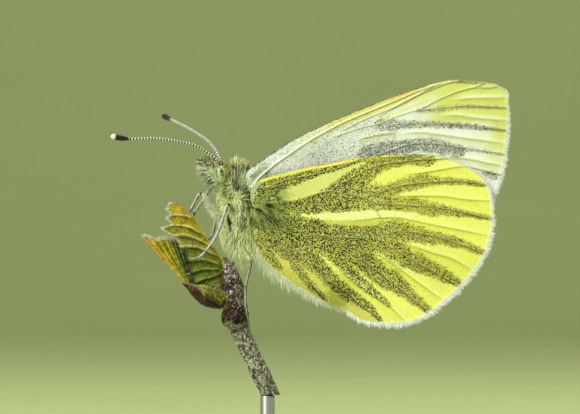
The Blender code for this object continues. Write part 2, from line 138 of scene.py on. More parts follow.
HIND_MEMBRANE = [
    (-5.12, 26.17), (-5.15, 26.92), (-4.88, 27.67), (-4.12, 28.08), (-3.04, 28.38), (-1.54, 28.75),
    (-0.12, 29.08), (1.38, 29.33), (2.88, 29.67), (4.38, 29.88), (5.88, 30.03), (7.38, 30.12),
    (8.88, 30.14), (10.04, 30.03), (11.04, 29.8), (12.12, 29.42), (13.12, 28.92), (14.04, 28.25),
    (14.62, 27.33), (14.88, 26.33), (14.94, 24.83), (14.79, 23.5), (14.34, 22), (13.29, 20.33),
    (12.12, 19.08), (10.79, 17.83), (9.58, 16.92), (8.09, 16.25), (7.35, 16.11), (5.88, 16.11),
    (4.38, 16.33), (3.62, 16.63), (2.88, 17.17), (1.38, 17.67), (-0.12, 18.42), (-1.54, 19.33),
    (-3.04, 20.33), (-4.12, 21.42), (-4.79, 23), (-5.08, 24.67)]
HIND_FRINGE = [(11.6, 29.62)] + HIND_MEMBRANE[16:33]
HIND_INNER_EDGE = HIND_MEMBRANE[32:38] + [(-4.6, 22.5)]
FORE_VEINS = {
    "costa": [(-5.04, 27.42), (-4.38, 28.25), (-3.12, 29.33), (-1.92, 30.17), (-0.71, 31),
        (0.54, 31.75), (1.79, 32.42), (2.62, 32.83), (3.88, 33.38), (5.08, 33.87), (6.29, 34.36),
        (7.29, 34.77), (8.96, 35.46), (10.62, 36)],
    "subcosta": [(5.62, 33.38), (7.12, 34.25), (8.62, 35), (9.79, 35.5), (11.21, 36.05),
        (12.29, 36.25)],
    "radius": [(2.62, 32.17), (4.29, 33.04), (5.88, 33.7), (7.29, 34.27), (10.09, 35.83)],
    "cell_top": [(2.04, 31.67), (3.46, 32.17), (4.68, 32.5), (5.5, 32.67), (6.71, 33.17),
        (7.88, 33.58), (8.79, 33.83)],
    "radius_fork": [(8.79, 33.83), (9.21, 34), (10.12, 34.5), (11.21, 35), (12.29, 35.42),
        (13.46, 35.72), (14.29, 36.04)],
    "radius_tip": [(13.46, 35.72), (14.54, 35.67), (15.29, 35.75)],
    "media_high": [(8.79, 33.83), (10.12, 33.92), (11.21, 34.04), (12.29, 34.17), (14.54, 34.12),
        (16.21, 34)],
    "media_mid": [(6.38, 32.62), (7.46, 32.7), (10.12, 32.7), (11.54, 32.7), (12.71, 32.58),
        (13.79, 32.44), (14.96, 32.29), (16.12, 32.17)],
    "cell_end": [(6.71, 33.17), (6.54, 32.62), (6.88, 31.5), (6.96, 30.62)],
    "media_low": [(-1.04, 28), (2.2, 29.05), (5.42, 30.08), (6.29, 30.42), (6.96, 30.62),
        (7.46, 30.83), (8.21, 31), (9.38, 31.08), (10.46, 31), (11.54, 30.83), (12.71, 30.67),
        (13.79, 30.5), (14.96, 30.33), (15.96, 30.13)],
    "cubitus": [(7.29, 29.83), (9.79, 29.58), (12.21, 29.25), (13.46, 29), (14.54, 28.75),
        (15.79, 28.42)],
}
FORE_FOLDS = [
    [(11.54, 34.58), (13.04, 34.78), (16.12, 34.83)],
    [(10.38, 33.3), (11.96, 33.38), (13.46, 33.17), (14.96, 33.03), (16.29, 32.92)],
    [(6.71, 31.67), (8.62, 31.96), (10.83, 31.75), (13.04, 31.42), (14.54, 31.25), (16.04, 31)],
    [(10.62, 29.92), (12.21, 29.83), (13.46, 29.67), (14.54, 29.42), (15.88, 29.17)],
    [(3.46, 31.25), (5.08, 31.67), (6.71, 31.92)],
]
HIND_VEINS = {
    "subcosta": [(-4.96, 26.08), (-4.71, 26.67), (-4.12, 27.17), (-2.29, 28), (-0.12, 28.42),
        (2.29, 29.08), (4.29, 29.78), (7.38, 29.92), (8.12, 30.03)],
    "radial_stem": [(-4.88, 25.83), (-3.38, 26.08), (-1.38, 26.33), (1.38, 27.08), (2.88, 26.83),
        (4.21, 26.58)],
    "radial_sector": [(1.38, 27.08), (1.88, 27.42), (2.88, 28), (4.29, 28.75), (5.54, 29.25),
        (7.21, 29.5), (8.62, 29.67), (10.46, 29.75), (11.21, 29.78)],
    "media_high": [(4.21, 26.58), (5.29, 26.87), (6.21, 27.2), (7.38, 27.53), (8.62, 27.72),
        (10.04, 27.83), (11.46, 27.92), (12.96, 27.83), (14.29, 27.63)],
    "media_mid": [(4.79, 26.29), (5.46, 26.05), (7.21, 25.96), (8.62, 25.86), (10.04, 25.77),
        (11.04, 25.62), (12.46, 25.33), (13.71, 25.05), (14.88, 24.75)],
    "cell_end": [(4.21, 26.58), (4.79, 26.29), (5.67, 24.86), (6.71, 23.83)],
    "media_low": [(6.04, 23.25), (6.62, 23.67), (7.68, 23.71), (9.12, 23.54), (10.54, 23.21),
        (11.96, 22.79), (12.96, 22.42), (14.29, 21.88)],
    "cubital_stem": [(-4.79, 25.17), (-3.54, 24.67), (-1.88, 24), (-0.21, 23.58), (1.46, 23.33),
        (3.12, 23.21), (4.79, 23.17), (5.67, 23)],
    "cubitus_high": [(5.67, 23), (6.21, 22.58), (7.21, 22), (8.62, 21.2), (10.04, 20.42),
        (11.5, 19.58), (12.46, 19.05)],
    "cubitus_low": [(1.46, 23.29), (2.96, 22.33), (4.04, 21.53), (5, 20.78), (6.04, 19.92),
        (7.21, 19.05), (8.12, 18.28), (9.12, 17.5), (9.71, 17.04)],
    "anal_high": [(-4.71, 24.75), (-3.12, 23.67), (-0.83, 21.75), (0.04, 20.67), (1.04, 19.88),
        (2.12, 19.12), (3.04, 18.53), (3.38, 18.19), (4.29, 17.42), (5.29, 16.67), (5.79, 16.25)],
    "anal_low": [(-4.71, 24.33), (-3.54, 23.58), (-2.46, 22.7), (-1.79, 21.58), (-1.21, 20.75),
        (-0.54, 20), (0.04, 19.25), (0.62, 18.58), (1.21, 17.92)],
}
HIND_FOLDS = [
    [(7.21, 28.5), (8.62, 28.54), (10.04, 28.75), (11.04, 28.92), (11.96, 29.08), (12.88, 29.13)],
    [(6.21, 26.67), (9.62, 26.67), (11.04, 26.62), (12.46, 26.42), (13.88, 26.29), (14.79, 26.29)],
    [(1.46, 24.75), (3.38, 24.62), (5.67, 24.86), (7.21, 24.86), (8.62, 24.58), (10.04, 24.28),
     (11.5, 24), (12.96, 23.71), (14.76, 23.33)],
    [(7.21, 22.78), (8.62, 22.42), (10.04, 21.92), (11.5, 21.5), (12.46, 21), (13.29, 20.42)],
    [(4.79, 22.21), (6.21, 21.33), (7.71, 20.29), (9.12, 19.25), (10.04, 18.58), (10.96, 17.95)],
    [(1.46, 21), (4.29, 18.96), (5.29, 18.28), (6.04, 17.71), (6.79, 17.17), (7.68, 16.25)],
]

# Bands of dark scales, as (x, z, half-width), and how thickly each is strewn
HIND_DUSK = [
    (0.62, [(-4.7, 26.8, 0.82), (-3.1, 27.4, 0.82), (-1.6, 27.9, 0.56), (0.3, 28.6, 0.45),
     (1.8, 29, 0.37), (3, 29.4, 0.33), (5, 29.5, 0.47), (6.5, 29.6, 0.5), (8.1, 29.8, 0.45),
     (9.8, 29.6, 0.4)]),
    (0.62, [(-4.2, 25.7, 1.12), (-2.3, 25.8, 0.45), (-0.8, 25.8, 0.71), (0.7, 26.3, 0.82),
     (2.1, 27, 1.12), (3.3, 27.8, 0.89), (4.7, 28.7, 0.67), (5.5, 29.1, 0.47), (7.1, 29.5, 0.41),
     (8.6, 29.6, 0.36), (9.6, 29.4, 0.3)]),
    (0.6, [(-0.6, 25.8, 0.7), (1.6, 26.3, 1.12), (2.9, 26.3, 1), (4, 26.45, 1), (5.5, 26.5, 1.05)]),
    (0.5, [(4, 26.6, 0.62), (5.3, 26.8, 0.57), (6.5, 27.2, 0.57), (8.1, 27.7, 0.57),
     (9.3, 27.9, 0.57), (10.2, 27.9, 0.36), (12, 27.9, 0.29), (14.3, 27.6, 0.19)]),
    (0.5, [(5, 26, 0.57), (6.5, 25.9, 0.62), (8.4, 25.9, 0.64), (9.8, 25.6, 0.57),
     (11.2, 25.4, 0.41), (13.3, 25.1, 0.26), (14.8, 24.8, 0.19)]),
    (0.35, [(5.5, 24.5, 0.31), (6.3, 24.5, 0.41), (7.2, 24.4, 0.41), (8.1, 24, 0.47)]),
    (0.55, [(5.9, 23.5, 0.62), (7.1, 23.8, 0.83), (8.4, 23.5, 0.67), (10.2, 23.2, 0.52),
     (12.3, 22.7, 0.39), (14.3, 21.9, 0.23)]),
    (0.62, [(-4.2, 25, 0.45), (-1.6, 24.2, 0.82), (0.7, 23.8, 0.89), (2.5, 23.7, 0.65),
     (4, 23.6, 0.8), (5.1, 23.5, 0.74), (6, 23.3, 0.6)]),
    (0.62, [(3, 23.6, 0.8), (4, 23.5, 1), (5.3, 23, 0.93), (6.1, 22.5, 0.83), (7.1, 22, 0.78),
     (8.1, 21.4, 0.73), (9.7, 20.7, 0.62), (11.2, 19.9, 0.52), (12.3, 19.3, 0.29)]),
    (0.62, [(1.8, 23.2, 1.1), (3.3, 22.3, 1.24), (4, 21.8, 1.04), (5, 20.7, 0.83), (6, 19.9, 0.78),
     (7.1, 19.3, 0.67), (8.1, 18.4, 0.52), (9.8, 17.1, 0.29)]),
    (0.58, [(-1.2, 23.8, 0.88), (0.4, 22.9, 0.8), (2, 21.5, 0.52), (3.6, 19.9, 0.44),
     (5.2, 18.5, 0.32), (6.4, 17.6, 0.2)]),
    (0.6, [(-4.2, 24.4, 0.7), (-3.2, 23.8, 0.88), (-1.9, 22.8, 0.88), (-0.4, 21.6, 0.72),
     (0.9, 20.4, 0.6), (2, 19.3, 0.52), (3.2, 18.3, 0.48), (4.4, 17.6, 0.36), (5.6, 16.4, 0.2)]),
    (0.5, [(-3.6, 23.5, 0.72), (-2.6, 22.3, 0.48), (-1.8, 21.5, 0.4), (-1.1, 20.4, 0.36),
     (-0.1, 19.2, 0.3), (1, 18.1, 0.22)]),
    (0.45, [(-4.5, 23.8, 0.56), (-4.2, 22.8, 0.48), (-3.5, 21.6, 0.36), (-2.7, 20.7, 0.22)]),
]
FORE_DUSK = [
    (0.16, [(-4.6, 28.2, 1.2), (-2.5, 29.4, 1.1), (0, 30.8, 1.1), (3, 31.8, 1), (6, 32.4, 0.9)]),
    (0.18, [(-4.8, 27.6, 0.9), (-2.5, 28.6, 1.2), (0.5, 29.6, 1.3), (4, 30.4, 1), (6.5, 31, 0.6)]),
    (0.9, [(-5.2, 28.95, 0.09), (-3.5, 30.13, 0.09), (-1.4, 31.46, 0.08), (1.8, 32.97, 0.07),
     (4.3, 34.02, 0.07), (7.3, 35.17, 0.06), (9.5, 35.88, 0.05)]),
    (0.26, [(8.8, 33.8, 0.24), (10.5, 33.9, 0.26), (12.3, 34.1, 0.2), (16, 34, 0.12)]),
    (0.42, [(5.7, 32.5, 0.5), (6.6, 32.6, 0.45), (7.6, 32.6, 0.32), (10.2, 32.6, 0.28),
     (12.5, 32.5, 0.24), (16, 32.1, 0.13)]),
    (0.6, [(4.4, 30.2, 0.5), (5.8, 30.5, 0.55), (7.2, 30.7, 0.5), (9.4, 30.9, 0.5),
     (11.2, 30.6, 0.5), (12.4, 30.4, 0.36)]),
    (0.62, [(11.5, 30.4, 0.38), (12.3, 30.3, 0.38)]),
    (0.2, [(12, 30.6, 0.35), (14, 30.4, 0.22), (16, 30.1, 0.14)]),
    (0.4, [(14.3, 28.6, 0.15), (14.9, 28.4, 0.3), (15.4, 28.2, 0.22)]),
    (0.5, [(11.6, 36.15, 0.08), (12.6, 36.15, 0.1), (14.2, 36.05, 0.08)]),
]

# Perch
TWIG_TOP, TWIG_CUT, TWIG_LENGTH = (-6.12, 15.65), (-3.75, 10.1), 6.04
NODE_AXIS = [(-6.15, 15.75), (-6.4, 16.4), (-6.65, 17.2)]
BUD_AXIS = [(-6.72, 17.4), (-7.05, 18.2), (-7.6, 18.9), (-8.2, 19.3)]
SCALE_RIGHT_AXIS = [(-6.72, 17.3), (-7, 19), (-7.35, 20.6), (-7.55, 21.5)]
SCALE_LEFT_AXIS = [(-7.1, 18.7), (-8, 19.05), (-9, 19.35), (-10, 19.55), (-10.8, 19.6)]
# Leaves, as pairs of (x, z) points that one rib joins, inner line and margin
LEAF_RIGHT = [
    ((-7.4, 19.4), (-8.6, 18.6)), ((-7.5, 19.91), (-9.5, 18.95)), ((-7.33, 20.32), (-10.16, 19.38)),
    ((-7.33, 20.41), (-10.39, 20.04)), ((-7.34, 20.51), (-10.59, 20.77)),
    ((-7.43, 20.97), (-10.82, 21.57)), ((-7.5, 21.44), (-11.05, 22.43)),
    ((-8, 22.13), (-11.29, 23.16)), ((-8.53, 22.83), (-12.48, 23.89)),
    ((-8.96, 23.5), (-11.59, 24.26)), ((-9.49, 24.29), (-12.02, 24.78)),
    ((-9.89, 24.82), (-11.59, 25.12)), ((-10.56, 25.45), (-11.98, 25.54)),
    ((-11.52, 26.17), (-11.69, 26.12))]
LEAF_LEFT = [
    ((-9.7, 19.2), (-10.92, 22.96)), ((-9.85, 19.2), (-11.22, 23.03)),
    ((-10, 19.2), (-11.55, 23.15)), ((-10.15, 19.22), (-11.88, 23.06)),
    ((-10.25, 19.25), (-12.25, 23.21)), ((-10.4, 19.3), (-12.88, 23.08)),
    ((-10.52, 19.35), (-13.68, 23.3)), ((-10.62, 19.42), (-14.22, 23.31))]
ROD_X, BASE_HEIGHT = -3.75, 3.0

# Camera: its distance, the width it sees there, its sensor's width and its place
CAMERA_AWAY, VIEW_WIDTH, SENSOR_WIDTH = 500.0, 48.333, 36.0
CAMERA_X, CAMERA_Z = -1.875, 25.75


def tint(red, green, blue):
    """Colour read off a chart, 0 to 255, turned into the linear light Blender uses."""
    share = np.array([red, green, blue]) / 255
    return np.where(share <= 0.04045, share / 12.92, ((share + 0.055) / 1.055) ** 2.4)


# ---------------------------------------------------------------- curves, grids and noise

def toward(colours, share, target):
    """Colours moved towards another by each point's share of the way."""
    return colours + np.asarray(share)[:, None] * (target - colours)


def unit(vectors):
    """Vectors divided by their own lengths."""
    return vectors / np.maximum(np.linalg.norm(vectors, axis=-1, keepdims=True), 1e-12)


def way_along(route):
    """Length of the way to each point of a route."""
    return np.concatenate([[0.0], np.cumsum(np.linalg.norm(np.diff(route, axis=0), axis=1))])


def at_stops(stops, along, route):
    """Places at these lengths of a route."""
    return np.column_stack([np.interp(stops, along, axis) for axis in np.asarray(route).T])


def smooth_curve(points, count, closed=False):
    """Hermite curve through the points, its slopes taken across each point's neighbours, sampled
    at even steps of its length."""
    knots = np.asarray(points, float)
    if closed:
        knots = np.vstack([knots[-1], knots, knots[:2]])
    else:
        knots = np.vstack([2 * knots[0] - knots[1], knots, 2 * knots[-1] - knots[-2]])
    at = way_along(knots)
    slopes = (knots[2:] - knots[:-2]) / (at[2:] - at[:-2])[:, None]
    t = np.linspace(0.0, 1.0, 16, endpoint=False)[None, :, None]
    start, end = knots[1:-2, None], knots[2:-1, None]
    step = np.linalg.norm(np.diff(knots, axis=0), axis=1)[1:-1, None, None]
    dense = ((2 * t**3 - 3 * t**2 + 1) * start + (t**3 - 2 * t**2 + t) * step * slopes[:-1, None]
             + (3 * t**2 - 2 * t**3) * end + (t**3 - t**2) * step * slopes[1:, None])
    dense = np.vstack([dense.reshape(-1, knots.shape[1]), knots[-2]])
    along = way_along(dense)
    return at_stops(np.linspace(0.0, along[-1], count, endpoint=not closed), along, dense)


def resampled(values, count):
    """A short list of sizes spread evenly and smoothly over count stations."""
    curve = smooth_curve(np.column_stack([np.arange(len(values)), values]), 8 * count)
    return np.interp(np.linspace(0, len(values) - 1, count), curve[:, 0], curve[:, 1])


def bent_route(joints, reach=0.55):
    """Straight lengths between joints, each corner rounded by an arc that touches both lengths."""
    joints = np.asarray(joints, float)
    route = [joints[0]]
    for before, corner, after in zip(joints, joints[1:], joints[2:]):
        inward, outward = corner - before, after - corner
        cut = min(reach, 0.45 * np.linalg.norm(inward), 0.45 * np.linalg.norm(outward))
        inward, outward = unit(inward), unit(outward)
        turn = math.acos(float(np.clip(inward @ outward, -1.0, 1.0)))
        radius = cut / math.tan(turn / 2)
        bow = unit(outward - (outward @ inward) * inward)
        for angle in np.linspace(0.0, turn, 9):
            route.append(corner - cut * inward
                         + radius * (math.sin(angle) * inward + (1 - math.cos(angle)) * bow))
    route.append(joints[-1])
    return np.array(route)


def even_route(route, spacing):
    """The same route with its points evenly spaced, and the length of the way to each."""
    along = way_along(route)
    stops = np.linspace(0.0, along[-1], max(4, int(along[-1] / spacing)))
    return at_stops(stops, along, route), stops


def scramble(cells, seed):
    """A repeatable value from 0 to 1 for each whole-numbered cell."""
    key = (cells[..., 0] * 73856093) ^ (cells[..., 1] * 19349663) ^ (cells[..., 2] * 83492791)
    key = (key ^ (seed * 668265263)) & 0x7FFFFFFF
    key = ((key ^ (key >> 13)) * 1274126177) & 0x7FFFFFFF
    key = ((key ^ (key >> 15)) * 911382323) & 0x7FFFFFFF
    return ((key ^ (key >> 12)) & 0xFFFFFF) / float(0xFFFFFF)


def noise(points, size, seed=1):
    """Smooth noise from -1 to 1: values at the corners of cells of this size, blended between."""
    cells = np.asarray(points, float) / size
    base = np.floor(cells).astype(np.int64)
    part = cells - base
    part = part * part * (3 - 2 * part)
    total = np.zeros(len(cells))
    for corner in np.ndindex(2, 2, 2):
        step = np.array(corner)
        total += np.prod(np.where(step, part, 1 - part), axis=1) * scramble(base + step, seed)
    return 2 * total - 1


def rough_noise(points, size, octaves=4, seed=1):
    """Noise at halving sizes and strengths, added up."""
    return sum(noise(points, size / 2**k, seed + k) / 2**k for k in range(octaves)) / 1.6


def lattice(rows, columns, around=True):
    """Four-sided faces between neighbouring rows and columns of a grid."""
    r = np.arange(rows - 1)[:, None]
    c = np.arange(columns if around else columns - 1)[None, :]
    a, b = r * columns + c, r * columns + (c + 1) % columns
    return np.stack([a, b, b + columns, a + columns], axis=-1).reshape(-1, 4)


def caps(rows, columns):
    """Faces that close a round grid's first and last rows; the two poles follow its points."""
    k, last, pole = np.arange(columns), (rows - 1) * columns, np.full(columns, rows * columns)
    ahead = (k + 1) % columns
    return np.vstack([np.column_stack([pole, ahead, k]),
                      np.column_stack([pole + 1, last + k, last + ahead])])


def frames_along(route):
    """Forward, sideways (towards +Y) and upward directions at every point of a route."""
    forward = unit(np.gradient(route, axis=0))
    side = unit(np.array([0.0, 1.0, 0.0]) - forward[:, 1:2] * forward)
    return forward, side, np.cross(forward, side)


def upright(flat, y=0.0):
    """(x, z) points as (x, y, z) points."""
    flat = np.asarray(flat, float)
    return np.column_stack([flat[:, 0], np.broadcast_to(y, len(flat)), flat[:, 1]])


class Sweep:
    """An ellipse carried along a route and closed by half-round ends.

    A point lies at centre + width * cos(angle) * side + depth * sin(angle) * up; past each end
    the ellipse shrinks by the cosine of a quarter turn while it moves on by its sine."""

    def __init__(self, route, depth, width, sides, dome=1.0):
        route = np.asarray(route, float)
        count, turns = len(route), np.radians([75, 55, 35, 17])
        self.pick = pick = np.clip(np.arange(-4, count + 4), 0, count - 1)
        push = np.concatenate([-np.sin(turns), np.zeros(count), np.sin(turns[::-1])])
        self.scale = np.concatenate([np.cos(turns), np.ones(count), np.cos(turns[::-1])])
        self.forward, self.side, self.up = (way[pick] for way in frames_along(route))
        self.depth, self.width = (np.broadcast_to(size, count)[pick] for size in (depth, width))
        smaller = np.minimum(self.depth, self.width)
        self.centre = route[pick] + (dome * push * smaller)[:, None] * self.forward
        self.poles = [route[0] - dome * smaller[0] * self.forward[0],
                      route[-1] + dome * smaller[-1] * self.forward[-1]]
        self.sides = sides
        self.angle = np.linspace(0, 2 * math.pi, sides, endpoint=False)
        self.share = np.clip((np.arange(len(pick)) - 4) / (count - 1), 0.0, 1.0)

    def points(self, swell=0.0):
        """Grid of surface points, moved outward by swell, which may differ from place to place."""
        cos, sin = np.cos(self.angle)[None, :, None], np.sin(self.angle)[None, :, None]
        swell = np.broadcast_to(swell, (len(self.centre), self.sides))[..., None]
        wide = (self.width[:, None, None] + swell) * self.scale[:, None, None]
        deep = (self.depth[:, None, None] + swell) * self.scale[:, None, None]
        return (self.centre[:, None] + wide * cos * self.side[:, None]
                + deep * sin * self.up[:, None])

    def mesh(self, swell=0.0):
        """Points with both poles last, and the faces that join them."""
        rows = len(self.centre)
        return (np.vstack([self.points(swell).reshape(-1, 3), *self.poles]),
                lattice(rows, self.sides), caps(rows, self.sides))

    def spread(self, per_station):
        """Values of the route's stations as values of mesh()'s points."""
        rows = per_station[self.pick]
        return np.concatenate([np.repeat(rows, self.sides, axis=0), rows[[0, -1]]])


def linked(name, data):
    """An object in the scene that shows this data."""
    made = bpy.data.objects.new(name, data)
    bpy.context.scene.collection.objects.link(made)
    return made


def fill(items, field, values, kind=np.float32):
    """Set one field of many mesh items at once."""
    items.foreach_set(field, np.asarray(values).astype(kind).ravel())


class Shape:
    """Points in millimetres, faces and painted marks, gathered for one mesh."""

    def __init__(self):
        self.points, self.faces, self.looks, self.marks = [], {3: [], 4: []}, {3: [], 4: []}, {}
        self.count = 0

    def add(self, points, quads=(), tris=(), look=0, **marks):
        """Add a closed surface; each mark is one value for all its points or one for each."""
        points = np.asarray(points, float).reshape(-1, 3)
        for corners, faces in ((4, quads), (3, tris)):
            if len(faces):
                self.faces[corners].append(np.asarray(faces) + self.count)
                self.looks[corners].append(np.full(len(faces), look))
        for name, values in marks.items():
            wanted = (len(points), *np.shape(values)[1:])
            self.marks.setdefault(name, []).append(np.broadcast_to(values, wanted))
        self.points.append(points)
        self.count += len(points)

    def build(self, name, looks):
        """Make the object: hairs shade flat, all else smoothly, and patches become OFBake."""
        mesh = bpy.data.meshes.new(name)
        kinds = [corners for corners in (3, 4) if self.faces[corners]]
        loops = np.concatenate([np.vstack(self.faces[corners]).ravel() for corners in kinds])
        index = [np.concatenate(self.looks[corners]) for corners in kinds]
        sizes = np.concatenate([np.full(len(i), corners) for i, corners in zip(index, kinds)])
        mesh.vertices.add(self.count)
        fill(mesh.vertices, "co", np.concatenate(self.points) * MM)
        mesh.loops.add(len(loops))
        fill(mesh.loops, "vertex_index", loops, np.int32)
        mesh.polygons.add(len(sizes))
        fill(mesh.polygons, "loop_start", np.cumsum(sizes) - sizes, np.int32)
        fill(mesh.polygons, "material_index", np.concatenate(index), np.int32)
        for mark, parts in self.marks.items():
            values = np.concatenate(parts)
            if mark == "patch":
                fill(mesh.uv_layers.new(name="OFBake").data, "uv", values[loops])
            # the colour attribute: each piece's own colours, and on wings, leaves, body, skin and
            # hairs also painted highlights and painted shade
            elif mark == "pigment":
                colour = mesh.attributes.new(mark, "FLOAT_COLOR", "POINT")
                fill(colour.data, "color", np.column_stack([values, np.ones(len(values))]))
            else:
                fill(mesh.attributes.new(mark, "FLOAT", "POINT").data, "value", values)
        mesh.update(calc_edges=True)
        mesh.validate()
        if "patch" in self.marks:
            mesh.shade_flat()
        else:
            mesh.shade_smooth()
        for look in looks:
            mesh.materials.append(look)
        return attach(linked(name, mesh), "root")


def settle(made, slot, *nodes):
    """Hide the solids that a piece stands for and hand the piece back; slot, the material slot it
    is finished from, is not used.
    """
    if nodes:
        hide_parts(*nodes)
    return made


# ---------------------------------------------------------------- material nodes

def make_piece(name, finish, slot, nodes, points, quads, tris=(), **marks):
    """One closed surface as a piece of its own."""
    shape = Shape()
    shape.add(points, quads, tris, **marks)
    return settle(shape.build(name, [finish]), slot, *nodes)


class Finish:
    """One Principled material and short ways to feed it."""

    def __init__(self, name, roughness=0.6, **constants):
        self.material = bpy.data.materials.new(name)
        self.material.use_nodes = True
        self.tree = self.material.node_tree
        self.shader = self.tree.nodes["Principled BSDF"]
        for socket, value in {"Roughness": roughness, **constants}.items():
            self.feed(self.shader, socket.replace("_", " "), value)

    def feed(self, node, key, value):
        """Link a value to one of a node's inputs, or set it there."""
        socket = node.inputs[key]
        if isinstance(value, bpy.types.NodeSocket):
            self.tree.links.new(value, socket)
        else:
            socket.default_value = (*value[:3], 1.0) if socket.type == "RGBA" else value

    def node(self, kind, result, inputs=None, **settings):
        """Add a node with its settings, values and links; one of its outputs."""
        node = self.tree.nodes.new("ShaderNode" + kind)
        for key, value in settings.items():
            setattr(node, key, value)
        for key, value in (inputs or {}).items():
            self.feed(node, key, value)
        return node.outputs[result]

    def place(self, scale=(1.0, 1.0, 1.0), turn=(0.0, 0.0, 0.0)):
        """Object coordinates in millimetres, stretched and turned."""
        scale = tuple(1000.0 * value for value in scale)
        return self.node("Mapping", "Vector", {"Vector": self.node("TexCoord", "Object"),
                                               "Scale": scale, "Rotation": turn})

    def mark(self, name, output="Fac"):
        """A painted mark of the mesh: Fac for a value, Color for a colour."""
        return self.node("Attribute", output, attribute_name=name)

    def noise(self, place, scale, detail=3.0, roughness=0.55):
        """Soft noise, from 0 to 1."""
        return self.node("TexNoise", "Fac", {"Vector": place, "Scale": scale, "Detail": detail,
                                             "Roughness": roughness})

    def cells(self, place, scale, randomness=1.0):
        """Distance from the middles of scattered cells, and a random value for each cell."""
        far = self.node("TexVoronoi", "Distance", {"Vector": place, "Scale": scale,
                                                   "Randomness": randomness}, feature="F1")
        return far, self.node("SeparateColor", "Red", {"Color": far.node.outputs["Color"]})

    def math(self, kind, first, second=0.0):
        """Arithmetic on one or two values."""
        return self.node("Math", 0, {0: first, 1: second}, operation=kind)

    def between(self, value, low, high, start=0.0, end=1.0):
        """The value carried smoothly from one range to another."""
        return self.node("MapRange", "Result", {"Value": value, "From Min": low, "From Max": high,
                                                "To Min": start, "To Max": end},
                         interpolation_type="SMOOTHSTEP")

    def blend(self, share, first, second, kind="MIX"):
        """Two colours mixed by a share."""
        return self.node("Mix", 2, {"Factor": share, 6: first, 7: second}, data_type="RGBA",
                         blend_type=kind)

    def painted(self, shade):
        """The mesh's painted colour multiplied by a value."""
        grey = self.node("CombineColor", 0, {0: shade, 1: shade, 2: shade})
        return self.blend(1.0, self.mark("pigment", "Color"), grey, "MULTIPLY")

    def bump(self, height, depth, strength=1.0, **under):
        """Relief of this depth in millimetres, over any relief given as Normal."""
        return self.node("Bump", "Normal", {"Height": height, "Distance": depth * MM,
                                            "Strength": strength, **under})

    def done(self, colour, roughness=None, normal=None):
        """Join colour, roughness and relief to the shader."""
        for key, value in (("Base Color", colour), ("Roughness", roughness), ("Normal", normal)):
            if value is not None:
                self.feed(self.shader, key, value)
        return self.material


def look_of(name, maker, *settings):
    """A finish made once and shared by like pieces."""
    return bpy.data.materials.get(name) or maker(name, *settings)


def wing_finish(name, speck, speck_colour):
    """Powdered wing: painted ground, fine dust that darkens it, coarser near-black scales where the
    dusk mark is high, and a fine relief of overlapping scales."""
    look = Finish(name, 0.6, Sheen_Weight=0.12, Sheen_Roughness=0.4)
    place, dusk = look.place(), look.mark("dusk")
    _, grain = look.cells(place, 1.0 / (0.62 * speck))
    most = look.math("MINIMUM", look.math("MULTIPLY", dusk, 1.25),
                     look.between(dusk, 0.4, 0.7, 0.5, 0.08))
    fine = look.math("LESS_THAN", grain, most)
    shade = look.math("MULTIPLY", look.between(grain, 0.0, 1.0, 0.9, 1.06),
                      look.between(fine, 0.0, 1.0, 1.0, 0.42))
    far, value = look.cells(place, 1.0 / (1.22 * speck))
    thick = look.math("MULTIPLY", look.math("SUBTRACT", dusk, 0.18), 1.75)
    dark = look.math("MULTIPLY", look.math("LESS_THAN", value, thick),
                     look.between(far, 0.47, 0.55, 1.0, 0.0))
    relief = look.bump(look.math("SUBTRACT", grain, dark), 0.012, 0.5)
    return look.done(look.blend(dark, look.painted(shade), speck_colour),
                     look.between(grain, 0.0, 1.0, 0.5, 0.75), relief)


def vein_finish(name):
    """Pale raised vein with fine rings."""
    look = Finish(name, 0.45)
    mottle = look.noise(look.place(), 9.0, 2.0)
    return look.done(look.painted(look.between(mottle, 0.3, 0.7, 0.8, 1.08)), None,
                     look.bump(mottle, 0.01, 0.4))


def hair_finish(name, roughness=0.55, sheen=0.3):
    """Hair or scale: painted colour with a soft sheen, a little uneven."""
    look = Finish(name, roughness, Sheen_Weight=sheen, Sheen_Roughness=0.35)
    mottle = look.noise(look.place(), 6.0, 2.0)
    return look.done(look.painted(look.between(mottle, 0.25, 0.75, 0.78, 1.12)), None,
                     look.bump(mottle, 0.004, 0.3))


def skin_finish(name):
    """Scaled skin of body and legs under the coat."""
    look = Finish(name, 0.65, Sheen_Weight=0.2, Sheen_Roughness=0.4)
    far, value = look.cells(look.place(), 14.0)
    return look.done(look.painted(look.between(value, 0.0, 1.0, 0.72, 1.12)), None,
                     look.bump(far, 0.03, 0.7))


# ---------------------------------------------------------------- wings

def nearest_on(points, line, reach=9.0):
    """For each (x, z) point: distance from the line, negative below it; share of the way along; and
    the line's own half-width there if it has one.  The nearest place on every straight piece is the
    foot of the perpendicular, kept between its ends; points further than reach from the line's box
    count as far off."""
    line = np.asarray(line, float)
    flat = line[:, :2]
    near = np.all((points > flat.min(0) - reach) & (points < flat.max(0) + reach), axis=1)
    start, step = flat[:-1], np.diff(flat, axis=0)
    offset = points[near][:, None] - start
    share = np.clip((offset * step).sum(-1) / (step * step).sum(-1), 0.0, 1.0)
    away = offset - share[..., None] * step
    far = np.linalg.norm(away, axis=-1)
    row, pick = np.arange(len(far)), far.argmin(axis=1)
    gap, step = away[row, pick], step[pick]
    above = np.where(step[:, 0] * gap[:, 1] - step[:, 1] * gap[:, 0] >= 0, 1.0, -1.0)
    along = pick + share[row, pick]
    width = np.interp(along, np.arange(len(line)), line[:, 2]) if line.shape[1] > 2 else 1.0
    found = [np.full(len(points), value) for value in (FAR_OFF, 0.0, 1.0)]
    for whole, part in zip(found, (far[row, pick] * above, along / (len(line) - 1), width)):
        whole[near] = part
    return found


def near_curve(points, line, reach=9.0):
    """nearest_on for the smooth curve through a line's points."""
    return nearest_on(points, smooth_curve(line, 4 * len(line)), reach)


def off_curve(points, line, reach=1.0):
    """Distance from the smooth curve through a line's points."""
    return np.abs(near_curve(points, line, reach)[0])


